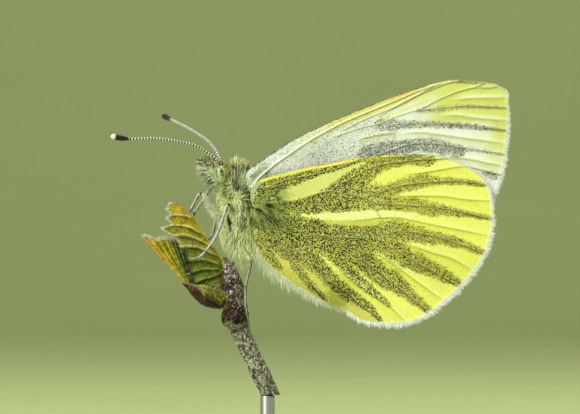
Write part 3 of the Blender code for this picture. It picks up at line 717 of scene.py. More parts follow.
def softly(value, low, high):
    """0 below low, 1 above high, and a smooth climb between."""
    t = np.clip((value - low) / (high - low), 0.0, 1.0)
    return t * t * (3 - 2 * t)


def within(points, band, edge=1.15, core=0.8, ragged=0.0):
    """How far inside a band of changing half-width each point lies, from 0 to 1."""
    signed, _, width = near_curve(points, band, 1.8)
    far = np.abs(signed)
    if ragged:
        far = far + ragged * noise(upright(points), 0.14, 17)
    return softly(-far / width, -edge, -core)


def strewn(points, bands):
    """How thickly dark scales lie: each band is full in its middle and ragged at its edge, and the
    thickest band at a place counts."""
    flat = upright(points)
    ragged = 0.16 * noise(flat, 0.4, 6) + 0.22 * noise(flat, 0.13, 8)
    most = np.zeros(len(points))
    for thick, band in bands:
        signed, _, width = near_curve(points, band, 1.8)
        most = np.maximum(most, thick * softly(ragged - np.abs(signed) / width, -1.55, -0.6))
    return most * (1.0 + 0.2 * noise(flat, 0.6, 5))


def trunk_distance(points):
    """Distance of (x, z) points from the abdomen's axis, taken as a straight piece."""
    return np.abs(nearest_on(points, [ABDOMEN_AXIS[0], ABDOMEN_AXIS[-1]], FAR_OFF)[0])


def forewing_reach(points):
    """Distance of the forewing from the plane of symmetry: flat, and bulging towards its hinge."""
    hinge = np.hypot(*(points - HINGE).T)
    return 0.42 + 0.7 * np.exp(-(hinge / 2.3) ** 2)


def hindwing_reach(points):
    """The hindwing lies over the forewing, closes below it and bows round the abdomen."""
    x, z = points.T
    below = np.clip((26.0 - 0.165 * (x - HINGE[0]) - z) / 5.0, 0.0, 1.0)
    flat = 0.93 - 0.62 * below * below * (3 - 2 * below)
    hinge = np.hypot(x - HINGE[0], z - HINGE[1])
    bow = 1.6 * np.exp(-(trunk_distance(points) / 1.7) ** 2)
    return (flat**3 + bow**3) ** (1 / 3) + 0.85 * np.exp(-(hinge / 2.9) ** 2) - 0.14


def fold_parts(points, line):
    """Signed distance above a fold, and how strongly the fold shows there."""
    signed, along, _ = near_curve(points, line, 1.6)
    ends = softly(along, 0.0, 0.3) * (0.45 + 0.55 * softly(1 - along, 0.0, 0.15))
    return signed, ends * (np.abs(signed) < 1.5)


def relief_of(points, veins, folds):
    """Veins stand up as fine ridges; the sheet climbs softly to each fold from above, drops off
    sharply at it and comes back softly below."""
    rise = np.zeros(len(points))
    for line in veins.values():
        rise += 0.03 * np.exp(-(off_curve(points, line, 0.6) / 0.13) ** 2)
    for line in folds:
        signed, strong = fold_parts(points, line)
        step = softly(signed, -0.09, 0.03)
        rise += strong * (step * 0.055 * np.exp(-(signed / 0.5) ** 2)
                          - (1 - step) * 0.025 * np.exp(-(signed / 0.55) ** 2))
    flat = upright(points)
    return rise + 0.05 * noise(flat, 2.4, 3) + 0.012 * noise(flat, 0.7, 4)


class Paint:
    """A coat of colour laid over points, one thin layer after another."""

    def __init__(self, count, colour):
        self.colour = np.tile(np.asarray(colour[:3], float), (count, 1))

    def lay(self, share, colour):
        """Cover each point with a colour by its share."""
        share = np.broadcast_to(np.clip(share, 0.0, 1.0), len(self.colour))[:, None]
        self.colour = self.colour + share * (np.asarray(colour[:3], float) - self.colour)


def line_shading(paint, points, veins, dark, pale, folds=(), fold_light=None, fold_shade=None):
    """Veins drawn as a fine dark line under a pale one, darkest towards the margin: partly the
    vein's own dark edge, partly painted shade below it and a painted highlight above it; folds with
    a painted highlight on the upper side that ends in a sharp, darker line of painted shade fading
    downward."""
    for line in folds:
        signed, strong = fold_parts(points, line)
        # painted highlight on the upper side of each fold
        light = softly(signed, 0.0, 0.07) * np.exp(-(signed / 0.3) ** 2)
        paint.lay(0.85 * strong * light, fold_light)
        # painted shade: a sharp darker line under each fold, fading downward
        fade = 0.75 * np.exp(-(signed / 0.12) ** 2) + 0.35 * np.exp(-(signed / 0.6) ** 2)
        paint.lay(strong * softly(-signed, -0.03, 0.03) * fade, fold_shade)
    for name, line in veins.items():
        signed, along, _ = near_curve(points, line, 0.5)
        inner = name.endswith("stem") or name.startswith("cell")
        depth = 0.3 if inner else 0.35 + 0.35 * softly(along, 0.1, 0.8)
        # painted shade just below each vein, partly its own dark edge, and a painted highlight just
        # above it
        paint.lay(depth * np.exp(-((signed + 0.06) / 0.06) ** 2), dark)
        paint.lay(0.3 * np.exp(-((signed - 0.09) / 0.07) ** 2), pale)


# Patches of the wings, as (x, z, half-width), and lines
LENS = [
    (-3.4, 26.55, 0.16), (-2.3, 26.8, 0.38), (-0.2, 27.38, 0.62), (1, 27.88, 0.58), (2, 28.4, 0.36),
    (2.9, 28.88, 0.17), (3.6, 29.15, 0.14), (4.4, 29.42, 0.12)]
CELL_LIGHT = [
    (-0.95, 25.05, 0.1), (0.3, 25, 0.2), (1.4, 24.96, 0.3), (3.2, 24.99, 0.36), (4.4, 25.04, 0.42),
    (5.6, 25.06, 0.4), (7.3, 25.1, 0.3), (8.4, 24.95, 0.22)]
CELL_SHADE = [(1.3, 24.5, 0.16), (3.4, 24.42, 0.24), (5.3, 24.42, 0.22)]
DARK_SPOT = [(-4.42, 25.35, 0.08), (-4.3, 24.95, 0.14), (-4.2, 24.6, 0.08)]
HIND_ROOT = [(-5.1, 26.4), (-4.95, 27.2), (-4.5, 27.7)]
YELLOW_LINES = [
    (0.7, [(6.5, 33.9), (8, 34.5), (10, 35.2)]),
    (0.6, [(5.5, 33), (7.5, 33.7), (9.5, 34.6)]),
]
# Veins: colours at the root and at the margin, and where one turns into the other
VEIN_TONES = {"forewing": ((214, 216, 178), (196, 192, 140), 5.0, 9.0),
              "hindwing": ((186, 184, 104), (184, 172, 90), 3.0, 8.0)}


def hindwing_paint(points, look):
    """Ground colours of the hindwing's underside, with painted highlights and painted shade at its
    veins, folds and cell, and how thickly dark scales lie on it.
    """
    x, z = points.T
    hinge = np.hypot(x + 4.9, z - 25.8)
    paint = Paint(len(points), look.lemon)
    paint.lay(0.5 + 0.5 * noise(upright(points), 1.7, 11), tint(236, 240, 112))
    lens = within(points, LENS, 1.25, 0.75, 0.13)
    light = within(points, CELL_LIGHT, 1.25, 0.75, 0.12)
    shade = within(points, CELL_SHADE, 1.15, 0.8, 0.1)
    paint.lay(lens, tint(220, 226, 124))
    inner = -near_curve(points, HIND_VEINS["anal_high"])[0]
    paint.lay(0.85 * softly(inner, 0.1, 0.4) * (x < 6.5), look.ochre)
    dusk = strewn(points, HIND_DUSK) * (1 - lens) * (1 - shade) * (1 - light)
    outer = softly(x + 0.25 * (z - 24.0), 4.2, 7.5)
    paint.lay(0.7 * softly(dusk, 0.1, 0.6) * (1 - outer), tint(174, 178, 68))
    paint.lay(0.75 * softly(dusk, 0.14, 0.5) * outer, tint(176, 172, 52))
    paint.lay(0.4 * softly(dusk, 0.3, 0.6) * softly(-hinge, -3.5, -1.0), tint(174, 184, 94))
    dusk = dusk * (1 - 0.42 * outer)
    paint.lay(light, tint(237, 241, 154))
    paint.lay(shade * softly(24.66 - z, 0.0, 0.05), tint(210, 211, 88))
    # painted shade and painted highlights along the veins and folds
    line_shading(paint, points, HIND_VEINS, tint(84, 74, 20), tint(236, 238, 150), HIND_FOLDS,
                 tint(246, 248, 156), tint(204, 206, 40))
    rim = -off_curve(points, HIND_MEMBRANE[2:14])
    paint.lay(softly(rim, -0.3, -0.16) * softly(-x, -9.0, -4.0), look.costal)
    dusk = dusk * (1 - 0.9 * softly(rim, -0.32, -0.18) * softly(-x, -5.0, -2.0))
    paint.lay(within(points, DARK_SPOT, 1.3, 0.7, 0.1), tint(12, 14, 8))
    root = softly(-np.abs(nearest_on(points, HIND_ROOT, 1.5)[0]), -0.3, -0.15)
    paint.lay(0.85 * root, tint(176, 194, 142))
    dusk = dusk * (1 - 0.8 * root)
    rim = -off_curve(points, HIND_MEMBRANE[14:30])
    paint.lay(0.5 * softly(rim, -0.3, -0.02), tint(238, 240, 170))
    return paint.colour, np.clip(1.25 * dusk, 0.0, 0.95)


def forewing_paint(points, look):
    """Ground colours of the forewing's underside, with painted shade under the costa and painted
    highlights and painted shade at its veins and folds, and how thickly dark scales lie on it.
    """
    flat = upright(points)
    x, z = points.T
    paint = Paint(len(points), look.white)
    costa = near_curve(points, FORE_VEINS["costa"])[0]
    low = softly(-costa, 0.05, 1.2)
    # grey below the costa near the base: partly the base's own grey, partly painted shade under the
    # costa's ridge, darkest just under it
    paint.lay(0.8 * low * softly(-x, -6.0, 1.0), tint(182, 188, 180))
    paint.lay(0.5 * low * softly(-low, -0.7, -0.3) * softly(-x, -6.0, 1.0), tint(170, 172, 156))
    paint.lay(0.75 * softly(-np.hypot(x + 5.0, z - 27.6), -3.2, -0.8), tint(170, 192, 146))
    paint.lay(0.3 + 0.3 * noise(flat, 1.5, 21), tint(236, 240, 230))
    edge = -off_curve(points, FORE_MEMBRANE[:17])
    band = softly(-np.abs(costa), -0.45, -0.3) + (costa > 0)
    front = softly(x + 0.7 * noise(flat, 0.8, 24), -2.0, 4.5) * softly(-x, -12.5, -10.5)
    paint.lay(0.9 * band * front, tint(222, 214, 84))
    paint.lay(0.6 * band * softly(edge, -0.3, -0.1) * softly(x, 6.0, 8.0), tint(220, 188, 54))
    for share, line in YELLOW_LINES:
        far = np.abs(nearest_on(points, line, 1.0)[0])
        paint.lay(share * softly(-far, -0.3, -0.05), tint(228, 228, 100))
    ragged = x + 0.7 * noise(flat, 1.2, 22) + 0.4 * noise(flat, 0.4, 23)
    paint.lay(softly(ragged, 8.0, 11.6) * softly(z - 0.1 * ragged, 31.3, 31.9), look.apex)
    paint.lay(0.85 * softly(ragged, 13.6, 15.8) * softly(z, 28.2, 29.6), look.apex)
    paint.lay(0.5 * softly(ragged, 12.0, 15.5) * softly(z, 30.2, 31.2), look.apex)
    paint.lay(0.8 * softly(edge, -0.14, -0.08) * softly(-x, -8.0, 1.0), tint(244, 247, 238))
    dusk = strewn(points, FORE_DUSK)
    paint.lay(0.5 * softly(dusk, 0.12, 0.6), tint(150, 158, 138))
    # painted shade and painted highlights along the veins and folds
    line_shading(paint, points, FORE_VEINS, tint(96, 94, 60), tint(240, 243, 222), FORE_FOLDS,
                 tint(250, 252, 226), tint(202, 198, 96))
    return paint.colour, np.clip(1.2 * dusk, 0.0, 0.95)


def upper_paint(points, kind):
    """The hidden upper sides: white, grey at the base, with dark wing tips."""
    x, z = points.T
    paint = Paint(len(points), tint(236, 238, 230))
    hinge = np.hypot(x + 5.0, z - 26.5)
    paint.lay(0.8 * softly(-hinge, -4.0, -0.5), tint(96, 98, 88))
    dusk = 0.3 * softly(-hinge, -6.0, -1.0)
    if kind == "forewing":
        tip = softly(x + 0.55 * (z - 34.0), 13.6, 15.4)
        paint.lay(0.9 * tip, tint(84, 84, 78))
        dusk = np.maximum(dusk, 0.6 * tip)
        paint.lay(0.9 * softly(-np.hypot(x - 11.6, z - 30.4), -0.9, -0.5), tint(70, 70, 64))
    line_shading(paint, points, WINGS[kind].veins, tint(150, 150, 140), tint(240, 241, 232))
    return paint.colour, dusk


Wing = namedtuple("Wing", "centre membrane veins folds reach paint")
WINGS = {
    "forewing": Wing(FORE_CENTRE, FORE_MEMBRANE, FORE_VEINS, FORE_FOLDS, forewing_reach,
                     forewing_paint),
    "hindwing": Wing(HIND_CENTRE, HIND_MEMBRANE, HIND_VEINS, HIND_FOLDS, hindwing_reach,
                     hindwing_paint),
}
WING_COLUMNS, OUTER_ROWS, INNER_ROWS, WING_HALF = 820, 84, 16, 0.035


def wing_lie(kind, points):
    """Distance of a wing's middle surface from the plane of symmetry, relief included."""
    wing = WINGS[kind]
    return wing.reach(points) + relief_of(points, wing.veins, wing.folds)


def wing_grid(kind, rows):
    """Rings of (x, z) points that shrink from the membrane's edge to a place near the hinge."""
    centre = np.array(WINGS[kind].centre)
    edge = smooth_curve(WINGS[kind].membrane, WING_COLUMNS, closed=True)
    share = np.linspace(0.0, 1.0, rows + 1)[1:, None, None] ** 0.9
    return np.vstack([(centre + share * (edge - centre)).reshape(-1, 2), centre])


def vein_tubes(shape, kind, side):
    """Each vein is a fine tube, thinner towards the margin, half sunk in the outer surface."""
    base, tip, start, end = VEIN_TONES[kind]
    for name, line in WINGS[kind].veins.items():
        route = smooth_curve(line, max(12, 7 * len(line)))
        share = np.linspace(0, 1, len(route))
        thick, ends = 0.03 * (1 - 0.3 * share), (tint(*base), tint(*tip))
        if name == "costa":
            thick = np.interp(share, [0, 0.3, 0.7, 1.0], [0.1, 0.09, 0.05, 0.03])
            ends = tint(236, 238, 216), tint(226, 214, 96)
        lie = wing_lie(kind, route) + WING_HALF + 0.2 * thick
        tube = Sweep(upright(route, side * lie), thick, thick, 8)
        mix = tube.spread(softly(route[:, 0], start, end))
        shape.add(*tube.mesh(), 1, dusk=0.0, pigment=toward(ends[0], mix, ends[1]))


def make_wing(kind, word, side, look, outer, inner):
    """One wing as a closed two-sided sheet, its edges joined by a rim, with its veins."""
    sheets = []
    for rows, half, (flat, lie, paint) in ((OUTER_ROWS, WING_HALF, outer),
                                           (INNER_ROWS, -WING_HALF, inner)):
        fan = caps(rows, WING_COLUMNS)[:WING_COLUMNS]
        sheets.append((upright(flat, side * (lie + half)), lattice(rows, WING_COLUMNS), fan,
                       *paint))
    over, under = sheets
    count = len(over[0])
    a = count - 1 - WING_COLUMNS + np.arange(WING_COLUMNS)
    b = a + len(under[0])
    rim = np.column_stack([a, np.roll(a, -1), np.roll(b, -1), b])
    points = np.vstack([over[0], under[0]])
    quads = np.vstack([over[1], under[1][:, ::-1] + count, rim[:, ::-1]])
    shape = Shape()
    shape.add(points, *outward(points, quads, np.vstack([over[2], under[2][:, ::-1] + count])),
              pigment=np.vstack([over[3], under[3]]), dusk=np.concatenate([over[4], under[4]]))
    vein_tubes(shape, kind, side)
    speck, colour = look.speck, look.dusk
    if kind == "forewing":
        speck, colour = 0.8 * look.speck, look.grey_dusk
    finishes = [look_of(f"{kind}_powder", wing_finish, speck, colour),
                look_of("wing_veins", vein_finish)]
    return settle(shape.build(f"{kind}_{word}_skin", finishes), f"{kind}_scales",
                  f"{kind}_{word}")


# ---------------------------------------------------------------- hair and scales

PATCH = 0.003  # side of one hair's patch of the unwrap
HAIR_RINGS = (0.0, 0.5)
HAIR_FACES = np.array([[0, 2, 1], [0, 1, 4], [1, 2, 5], [2, 0, 3], [0, 4, 3], [1, 5, 4], [2, 3, 5],
                       [3, 4, 6], [4, 5, 6], [5, 3, 6]])
SHINGLE_FACES = np.array([[0, 1, 2], [0, 2, 3], [0, 5, 4], [0, 4, 1], [3, 2, 4], [3, 4, 5],
                          [1, 4, 2], [0, 3, 5]])
# Seed; edges as line, whether white fringe, lengths, width, spacing, slant; scales; root hairs
WING_COATS = {
    "forewing": (31, [(FORE_FRINGE, True, [0.3, 0.6, 0.9, 1, 1, 1], 0.09, 0.03, (0.2, -0.25))],
                 4500, 800),
    "hindwing": (47, [(HIND_FRINGE, True, [0.2, 0.6, 1, 1.2, 1.35, 1.35, 1.35], 0.09, 0.03,
                       (0.55, -0.15)),
                      (HIND_INNER_EDGE, False, [0.6, 0.7, 0.95, 1.2, 1.4, 1.5, 1.3], 0.045, 0.045,
                       (0.75, -0.45))], 6500, 1000),
}

def spikes(roots, lie, length, width, bend=0.0, broad=None, thin=1.0):
    """Tapered three-sided hairs.  Ring f stands at root + f * length * lie + f * f * length * bend;
    its size falls as 1 - 0.8 f, and the last three faces meet in the tip."""
    lie, count = unit(lie), len(roots)
    length = np.broadcast_to(length, count)[:, None, None]
    width = np.broadcast_to(width, count)[:, None, None, None]
    bend = np.broadcast_to(bend, (count, 3))[:, None]
    if broad is None:
        broad = np.cross(lie, np.where(np.abs(lie[:, 2:]) < 0.9, [[0, 0, 1.0]], [[1.0, 0, 0]]))
    broad = unit(broad - (broad * lie).sum(-1, keepdims=True) * lie)
    other = thin * np.cross(lie, broad)
    turn = 2 * math.pi * np.arange(3)[None, :, None] / 3
    ring = np.cos(turn) * broad[:, None] + np.sin(turn) * other[:, None]
    f = np.array(HAIR_RINGS)[None, :, None]
    centre = roots[:, None] + f * length * lie[:, None] + f * f * length * bend
    body = centre[:, :, None] + 0.5 * width * (1 - 0.8 * f[..., None]) * ring[:, None]
    tip = roots[:, None] + length * (lie[:, None] + bend)
    return np.concatenate([body.reshape(count, -1, 3), tip], axis=1)


def repeated(tris, corners, count):
    """One small body's faces again for each of many bodies with this many corners."""
    return (tris[None] + corners * np.arange(count)[:, None, None]).reshape(-1, 3)


def add_hairs(shape, roots, lie, length, width, colour, place, shade=0.7, **more):
    """Add hairs with their colours, darker at the root as painted shade within the coat, and each
    one's patch of the unwrap.
    """
    points = spikes(roots, lie, length, width, **more)
    climb = np.append(np.repeat(HAIR_RINGS, 3), 1.0)
    # painted shade: each hair's colour falls towards its root, to shade times the colour there
    tone = shade + (1 - shade) * np.clip(1.6 * climb, 0, 1)
    across = np.append(np.tile([0.0, 0.5, 1.0], 2), 0.5)
    patch = place[:, None] + PATCH * np.stack([across, climb], axis=-1)
    shape.add(points, (), repeated(HAIR_FACES, 7, len(roots)),
              pigment=(colour[:, None] * tone[:, None]).reshape(-1, 3), patch=patch.reshape(-1, 2))


def bunches(points, size, seed):
    """Cells that neighbouring hairs share: each hair's way to its cell's middle, and the cell's own
    value from 0 to 1.  The cells' walls are bent by noise."""
    bend = np.column_stack([noise(points, 1.4 * size, seed + k) for k in range(3)])
    bent = points + 0.35 * size * bend
    cells = np.floor(bent / size).astype(np.int64)
    return (cells + 0.5) * size - bent, scramble(cells, seed)


def wing_place(points):
    """A wing's own unwrap: its (x, z) outline scaled into the unit square."""
    return (points + [7.0, -14.0]) / 25.0


def edge_hairs(shape, kind, side, line, length, width, spacing, slant, colour, rng):
    """Rows of flat, pointed scales along an edge: each leans out and along the slant, and
    neighbours draw together in small bunches.  Length runs through its values from end to end."""
    edge, along = even_route(smooth_curve(line, 12 * len(line)), spacing)
    count, tangent = len(edge), unit(np.gradient(edge, axis=0))
    outside = np.column_stack([-tangent[:, 1], tangent[:, 0]])
    centre = np.mean(WINGS[kind].membrane, axis=0)
    outside *= np.sign((outside * (edge - centre)).sum(-1, keepdims=True))
    length = np.interp(along, np.linspace(0, along[-1], len(length)), length)
    for layer in range(3):
        shift = rng.uniform(-0.5, 0.5, count) * spacing
        place = edge + shift[:, None] * tangent - (0.02 + 0.05 * layer) * outside
        pull, tone = bunches(upright(place), 0.17, 40 + layer)
        size = length * (0.66 + 0.4 * tone) * rng.uniform(0.75, 1.15, count) * (1 - 0.2 * layer)
        lie = unit(outside + np.asarray(slant)) + rng.normal(0, 0.08, (count, 2))
        lie = lie + 0.7 * pull[:, [0, 2]] / size[:, None]
        lie = upright(lie, rng.normal(0, 0.02, count))
        depth = wing_lie(kind, place) + rng.uniform(-0.008, 0.008, count) + 0.012 * layer
        shades = colour * (0.84 + 0.2 * tone[:, None]) * rng.uniform(0.85, 1.06, (count, 1))
        add_hairs(shape, upright(place, side * depth), lie, size,
                  width * rng.uniform(0.8, 1.2, count), np.clip(shades, 0, 0.98),
                  wing_place(place), 1.0, broad=upright(tangent), thin=0.16)


def shingles(roots, lie, out, length, width, lift):
    """Overlapping scales: each is a thin wedge whose root edge lies in the surface and whose far
    edge stands clear of it by lift."""
    lie = unit(lie)
    length, width, lift = length[:, None], width[:, None], lift[:, None]
    half, far = 0.5 * width * np.cross(out, lie), length * lie + lift * out
    thick = 0.35 * lift * out
    return np.stack([roots - 0.7 * half, roots + 0.7 * half, roots + half + far,
                     roots - half + far, roots + half + far - thick, roots - half + far - thick],
                    axis=1)


def enclosed(points, outline):
    """Which points an outline encloses: level lines from them cross it an odd number of times."""
    a = np.asarray(outline, float)
    b = np.roll(a, -1, axis=0)
    x, z = points[:, :1], points[:, 1:]
    level = a[:, 0] + (z - a[:, 1]) * (b[:, 0] - a[:, 0]) / (b[:, 1] - a[:, 1] + 1e-12)
    return (((a[:, 1] > z) != (b[:, 1] > z)) & (x < level)).sum(1) % 2 == 1


def wing_scales(shape, kind, side, look, count, rng):
    """Loose scales on the outer surface: dark where the dusting is thick, pale ones between."""
    outline = np.asarray(WINGS[kind].membrane)
    flat = rng.uniform(outline.min(0), outline.max(0), (2 * count, 2))
    flat = flat[enclosed(flat, outline)][:count]
    count = len(flat)
    colour, dusk = WINGS[kind].paint(flat, look)
    dark = rng.uniform(0.25, 1, count) < dusk
    speck = np.array(look.dusk if kind == "hindwing" else look.grey_dusk)
    speck = speck + softly(flat[:, :1], 2.0, 7.0) * (0.35 * colour - speck)
    shades = np.where(dark[:, None], speck, 1.04 * colour) * rng.uniform(0.9, 1.1, (count, 1))
    away = unit(flat - np.array(HINGE)) + rng.normal(0, 0.25, (count, 2))
    out = np.tile([0.0, float(side), 0.0], (count, 1))
    roots = upright(flat, side * (wing_lie(kind, flat) + WING_HALF - 0.004))
    size = look.speck * (1.15 - 0.35 * softly(flat[:, 0], 1.0, 6.0)) * rng.uniform(0.8, 1.25, count)
    points = shingles(roots, upright(away), out, size, 0.7 * size, np.where(dark, 0.026, 0.014))
    corners = np.array([[0, 0], [1, 0], [1, 1], [0, 1], [1, 0.9], [0, 0.9]])
    shape.add(points, (), repeated(SHINGLE_FACES, 6, count), pigment=np.repeat(shades, 6, axis=0),
              patch=(wing_place(flat)[:, None] + PATCH * corners).reshape(-1, 2))


def hinge_hairs(shape, kind, side, count, rng):
    """Long loose hairs over a wing's root, combed away from the hinge and drooping."""
    angle = np.radians(rng.uniform(-100, 40, count))
    far = 0.2 + 2.8 * rng.uniform(0, 1, count) ** 1.3
    flat = np.array([-5.1, 25.7]) + far[:, None] * np.column_stack([np.cos(angle), np.sin(angle)])
    dark, pale, longest = tint(30, 36, 16), tint(206, 220, 130), 1
    if kind == "forewing":
        flat = np.array([-5.4, 28.2]) + 0.55 * (flat - [-5.1, 25.7]) * [1, 1.2]
        dark, pale, longest = tint(70, 84, 52), tint(196, 210, 172), 0.6
    keep = enclosed(flat, WINGS[kind].membrane)
    flat, angle = flat[keep], angle[keep] - 0.35
    count = len(flat)
    lie = np.column_stack([np.cos(angle), np.full(count, side * 0.16), np.sin(angle)])
    lie += rng.normal(0, 0.12, lie.shape)
    pull, tone = bunches(upright(flat), 0.3, 51)
    roots = upright(flat, side * (wing_lie(kind, flat) + 0.02))
    size = rng.uniform(0.35, 1.0, count) * longest
    colour = np.where((tone < 0.3)[:, None], dark, pale) * rng.uniform(0.6, 1.25, (count, 1))
    add_hairs(shape, roots, lie + 0.3 * pull, size, 0.032, colour, wing_place(flat), 0.85,
              bend=[0.05, 0.0, -0.12])


def make_wing_coat(kind, word, side, look):
    """Fringe, edge hairs, root hairs and loose scales of one wing."""
    seed, edges, scales, hairs = WING_COATS[kind]
    rng, shape = np.random.default_rng(seed), Shape()
    for line, share, lengths, width, spacing, slant in edges:
        lengths = (look.fringe_length if share else 1) * np.array(lengths)
        colour = np.array(look.fringe) if share else tint(236, 241, 206)
        edge_hairs(shape, kind, side, line, lengths, width, spacing, slant, colour, rng)
    wing_scales(shape, kind, side, look, scales, rng)
    hinge_hairs(shape, kind, side, hairs, rng)
    finish = look_of("wing_fringe", hair_finish, 0.6, 0.2)
    return settle(shape.build(f"coat_{kind}_{word}", [finish]), f"{kind}_scales")


# ---------------------------------------------------------------- body

def body_sweeps(inset):
    """Head, thorax, abdomen and breast as ellipses carried along their axes, inset by a share of
    the coat's depth."""
    made = {}
    for name, (axis, depth, width, rows, sides, share) in BODY.items():
        sizes = (resampled(values, rows) - share * inset for values in (depth, width))
        made[name] = Sweep(upright(smooth_curve(axis, rows)), *sizes, sides)
    return made


def palp_sweeps():
    """Two bristly palps, reaching forward and up in front of the face."""
    radii = resampled([0.2, 0.21, 0.17, 0.08], 30)
    axis = smooth_curve(PALP_AXIS, 30)
    return [Sweep(axis * [1, side, 1], radii, 0.8 * radii, 20) for side in (1, -1)]


def leg_route(name):
    """A leg's route at even steps, its thickness there, the length of the way, and that length at
    each joint.  The foot's five joints swell and narrow by a cosine."""
    joints = LEGS[name]
    route, along = even_route(bent_route(joints), 0.06)
    at = np.array([along[np.argmin(np.linalg.norm(route - joint, axis=1))] for joint in joints])
    at = np.maximum.accumulate(at + 1e-4 * np.arange(len(at)))
    thigh = [0.22, 0.17] if name == "front_left" else [0.1, 0.1]
    sizes = [*thigh, 0.105, 0.1, 0.09, 0.08][:len(joints) - 1] + [0.05]
    foot = softly(along, at[SHIN_END], at[SHIN_END] + 0.2)
    turns = np.cos(2 * math.pi * 5 * (along - at[SHIN_END]) / (along[-1] - at[SHIN_END] + 1e-6))
    return route, np.interp(along, at, sizes) * (1 - 0.14 * foot * turns), along, at


# Markings of the body, and one painted shadow between the mid-left thigh and the body: share, band
# of (x, z, half-width), colour
BODY_BANDS = [
    (0.7, [(-8.8, 29.6, 0.4), (-8, 29.3, 0.35)], (180, 180, 132)),
    (0.65, [(-6.9, 29.3, 0.3), (-6.3, 29.1, 0.5), (-5.7, 28.9, 0.5), (-5.1, 28.5, 0.4)],
     (160, 154, 118)),
    (0.7, [(-6.75, 28.5, 0.28), (-6.7, 28.1, 0.28), (-6.5, 27.6, 0.24)], (112, 124, 92)),
    (0.8, [(-7.3, 27.4, 0.35), (-6.9, 26.6, 0.5), (-6.5, 26.1, 0.35)], (148, 158, 86)),
    (0.8, [(-6.3, 27.45, 0.22), (-6.05, 28, 0.32), (-5.8, 28.4, 0.25)], (180, 192, 156)),
    (0.6, [(-5.7, 26.8, 0.35), (-5.5, 26, 0.42), (-5.3, 25.4, 0.35)], (136, 154, 86)),
    (0.6, [(-5.2, 24.9, 0.5), (-5.8, 23.9, 0.5)], (196, 202, 128)),
    (0.9, [(-6.15, 26.2, 0.22), (-6.2, 25.5, 0.28), (-6.3, 24.5, 0.28), (-6.6, 23.4, 0.32)],
     (234, 238, 180)),
    (0.8, [(-7.7, 24, 0.45), (-7.1, 23.2, 0.5), (-6.6, 22.9, 0.4)], (238, 238, 186)),
    (0.9, [(-6.7, 22.5, 0.7), (-5.8, 21.9, 0.8), (-5, 22.4, 0.7)], (238, 244, 196)),
    (0.95, [(-7.08, 28.5, 0.14), (-7.2, 28.05, 0.17), (-7.6, 27.45, 0.24), (-8, 26.7, 0.32),
     (-8.15, 26.1, 0.36), (-7.9, 25.5, 0.32)], (226, 230, 178)),
    (1, [(-7.05, 29, 0.15), (-7, 28.6, 0.16)], (255, 220, 60)),
    (0.8, [(-6.95, 28.4, 0.1), (-6.9, 27.8, 0.12)], (226, 228, 160)),
    (0.9, [(-8.45, 28.45, 0.1), (-8.35, 28.25, 0.1)], (214, 190, 60)),
    (0.9, [(-8.5, 28, 0.12), (-8.15, 27.5, 0.2), (-7.8, 27.3, 0.12)], (220, 204, 140)),
    (0.9, [(-7.9, 27.9, 0.12), (-8.5, 28.5, 0.14), (-9, 29.15, 0.14), (-9.25, 29.5, 0.1)],
     (182, 196, 170)),
    (1, [(-6.34, 27.12, 0.13), (-6.2, 27.25, 0.13)], (8, 10, 6)),
    (1, [(-7.32, 26.92, 0.06), (-7.28, 26.9, 0.06)], (8, 8, 6)),
    # painted shadow between the mid-left thigh and the body
    (1, [(-7, 25.1, 0.09), (-6.92, 24.5, 0.19), (-6.7, 23.95, 0.13)], (18, 20, 10)),
]

# Fur of each piece: part, hairs, width, region of the unwrap, neighbours to stay out of, rise, size
FUR = {
    "coat_trunk": [("thorax", 11500, 0.066, (0.02, 0.02, 0.6, 0.45), ["head", "abdomen"], 0.85, 1),
                   ("abdomen", 3000, 0.05, (0.02, 0.52, 0.6, 0.45), ["thorax"], 0.4, 1),
                   ("breast", 2800, 0.06, (0.65, 0.02, 0.3, 0.45), ["thorax"], 0.9, 1)],
    "coat_head": [("head", 4600, 0.055, (0.02, 0.02, 0.45, 0.45), ["thorax"], 1.1, 0.9)],
}

# Where dark hairs are mixed in, as bands of (x, z, half-width)
DARK_FUR = [
    [(-9, 29.5, 0.6), (-7.9, 29.4, 0.6), (-7.1, 29.3, 0.45), (-6.7, 28.4, 0.45), (-6.9, 27, 0.5)],
    [(-6.4, 28.8, 0.4), (-5.6, 28.6, 0.4)],
    [(-6.3, 27.4, 0.4), (-5.9, 27, 0.5), (-5.6, 26.4, 0.5), (-5.4, 25.6, 0.5), (-5.9, 24.6, 0.4)],
    [(-6.4, 23.1, 0.2), (-5.6, 24.1, 0.25), (-4.7, 24.8, 0.3)],
    [(-8.4, 27.9, 0.4), (-7.9, 27.5, 0.4)],
]

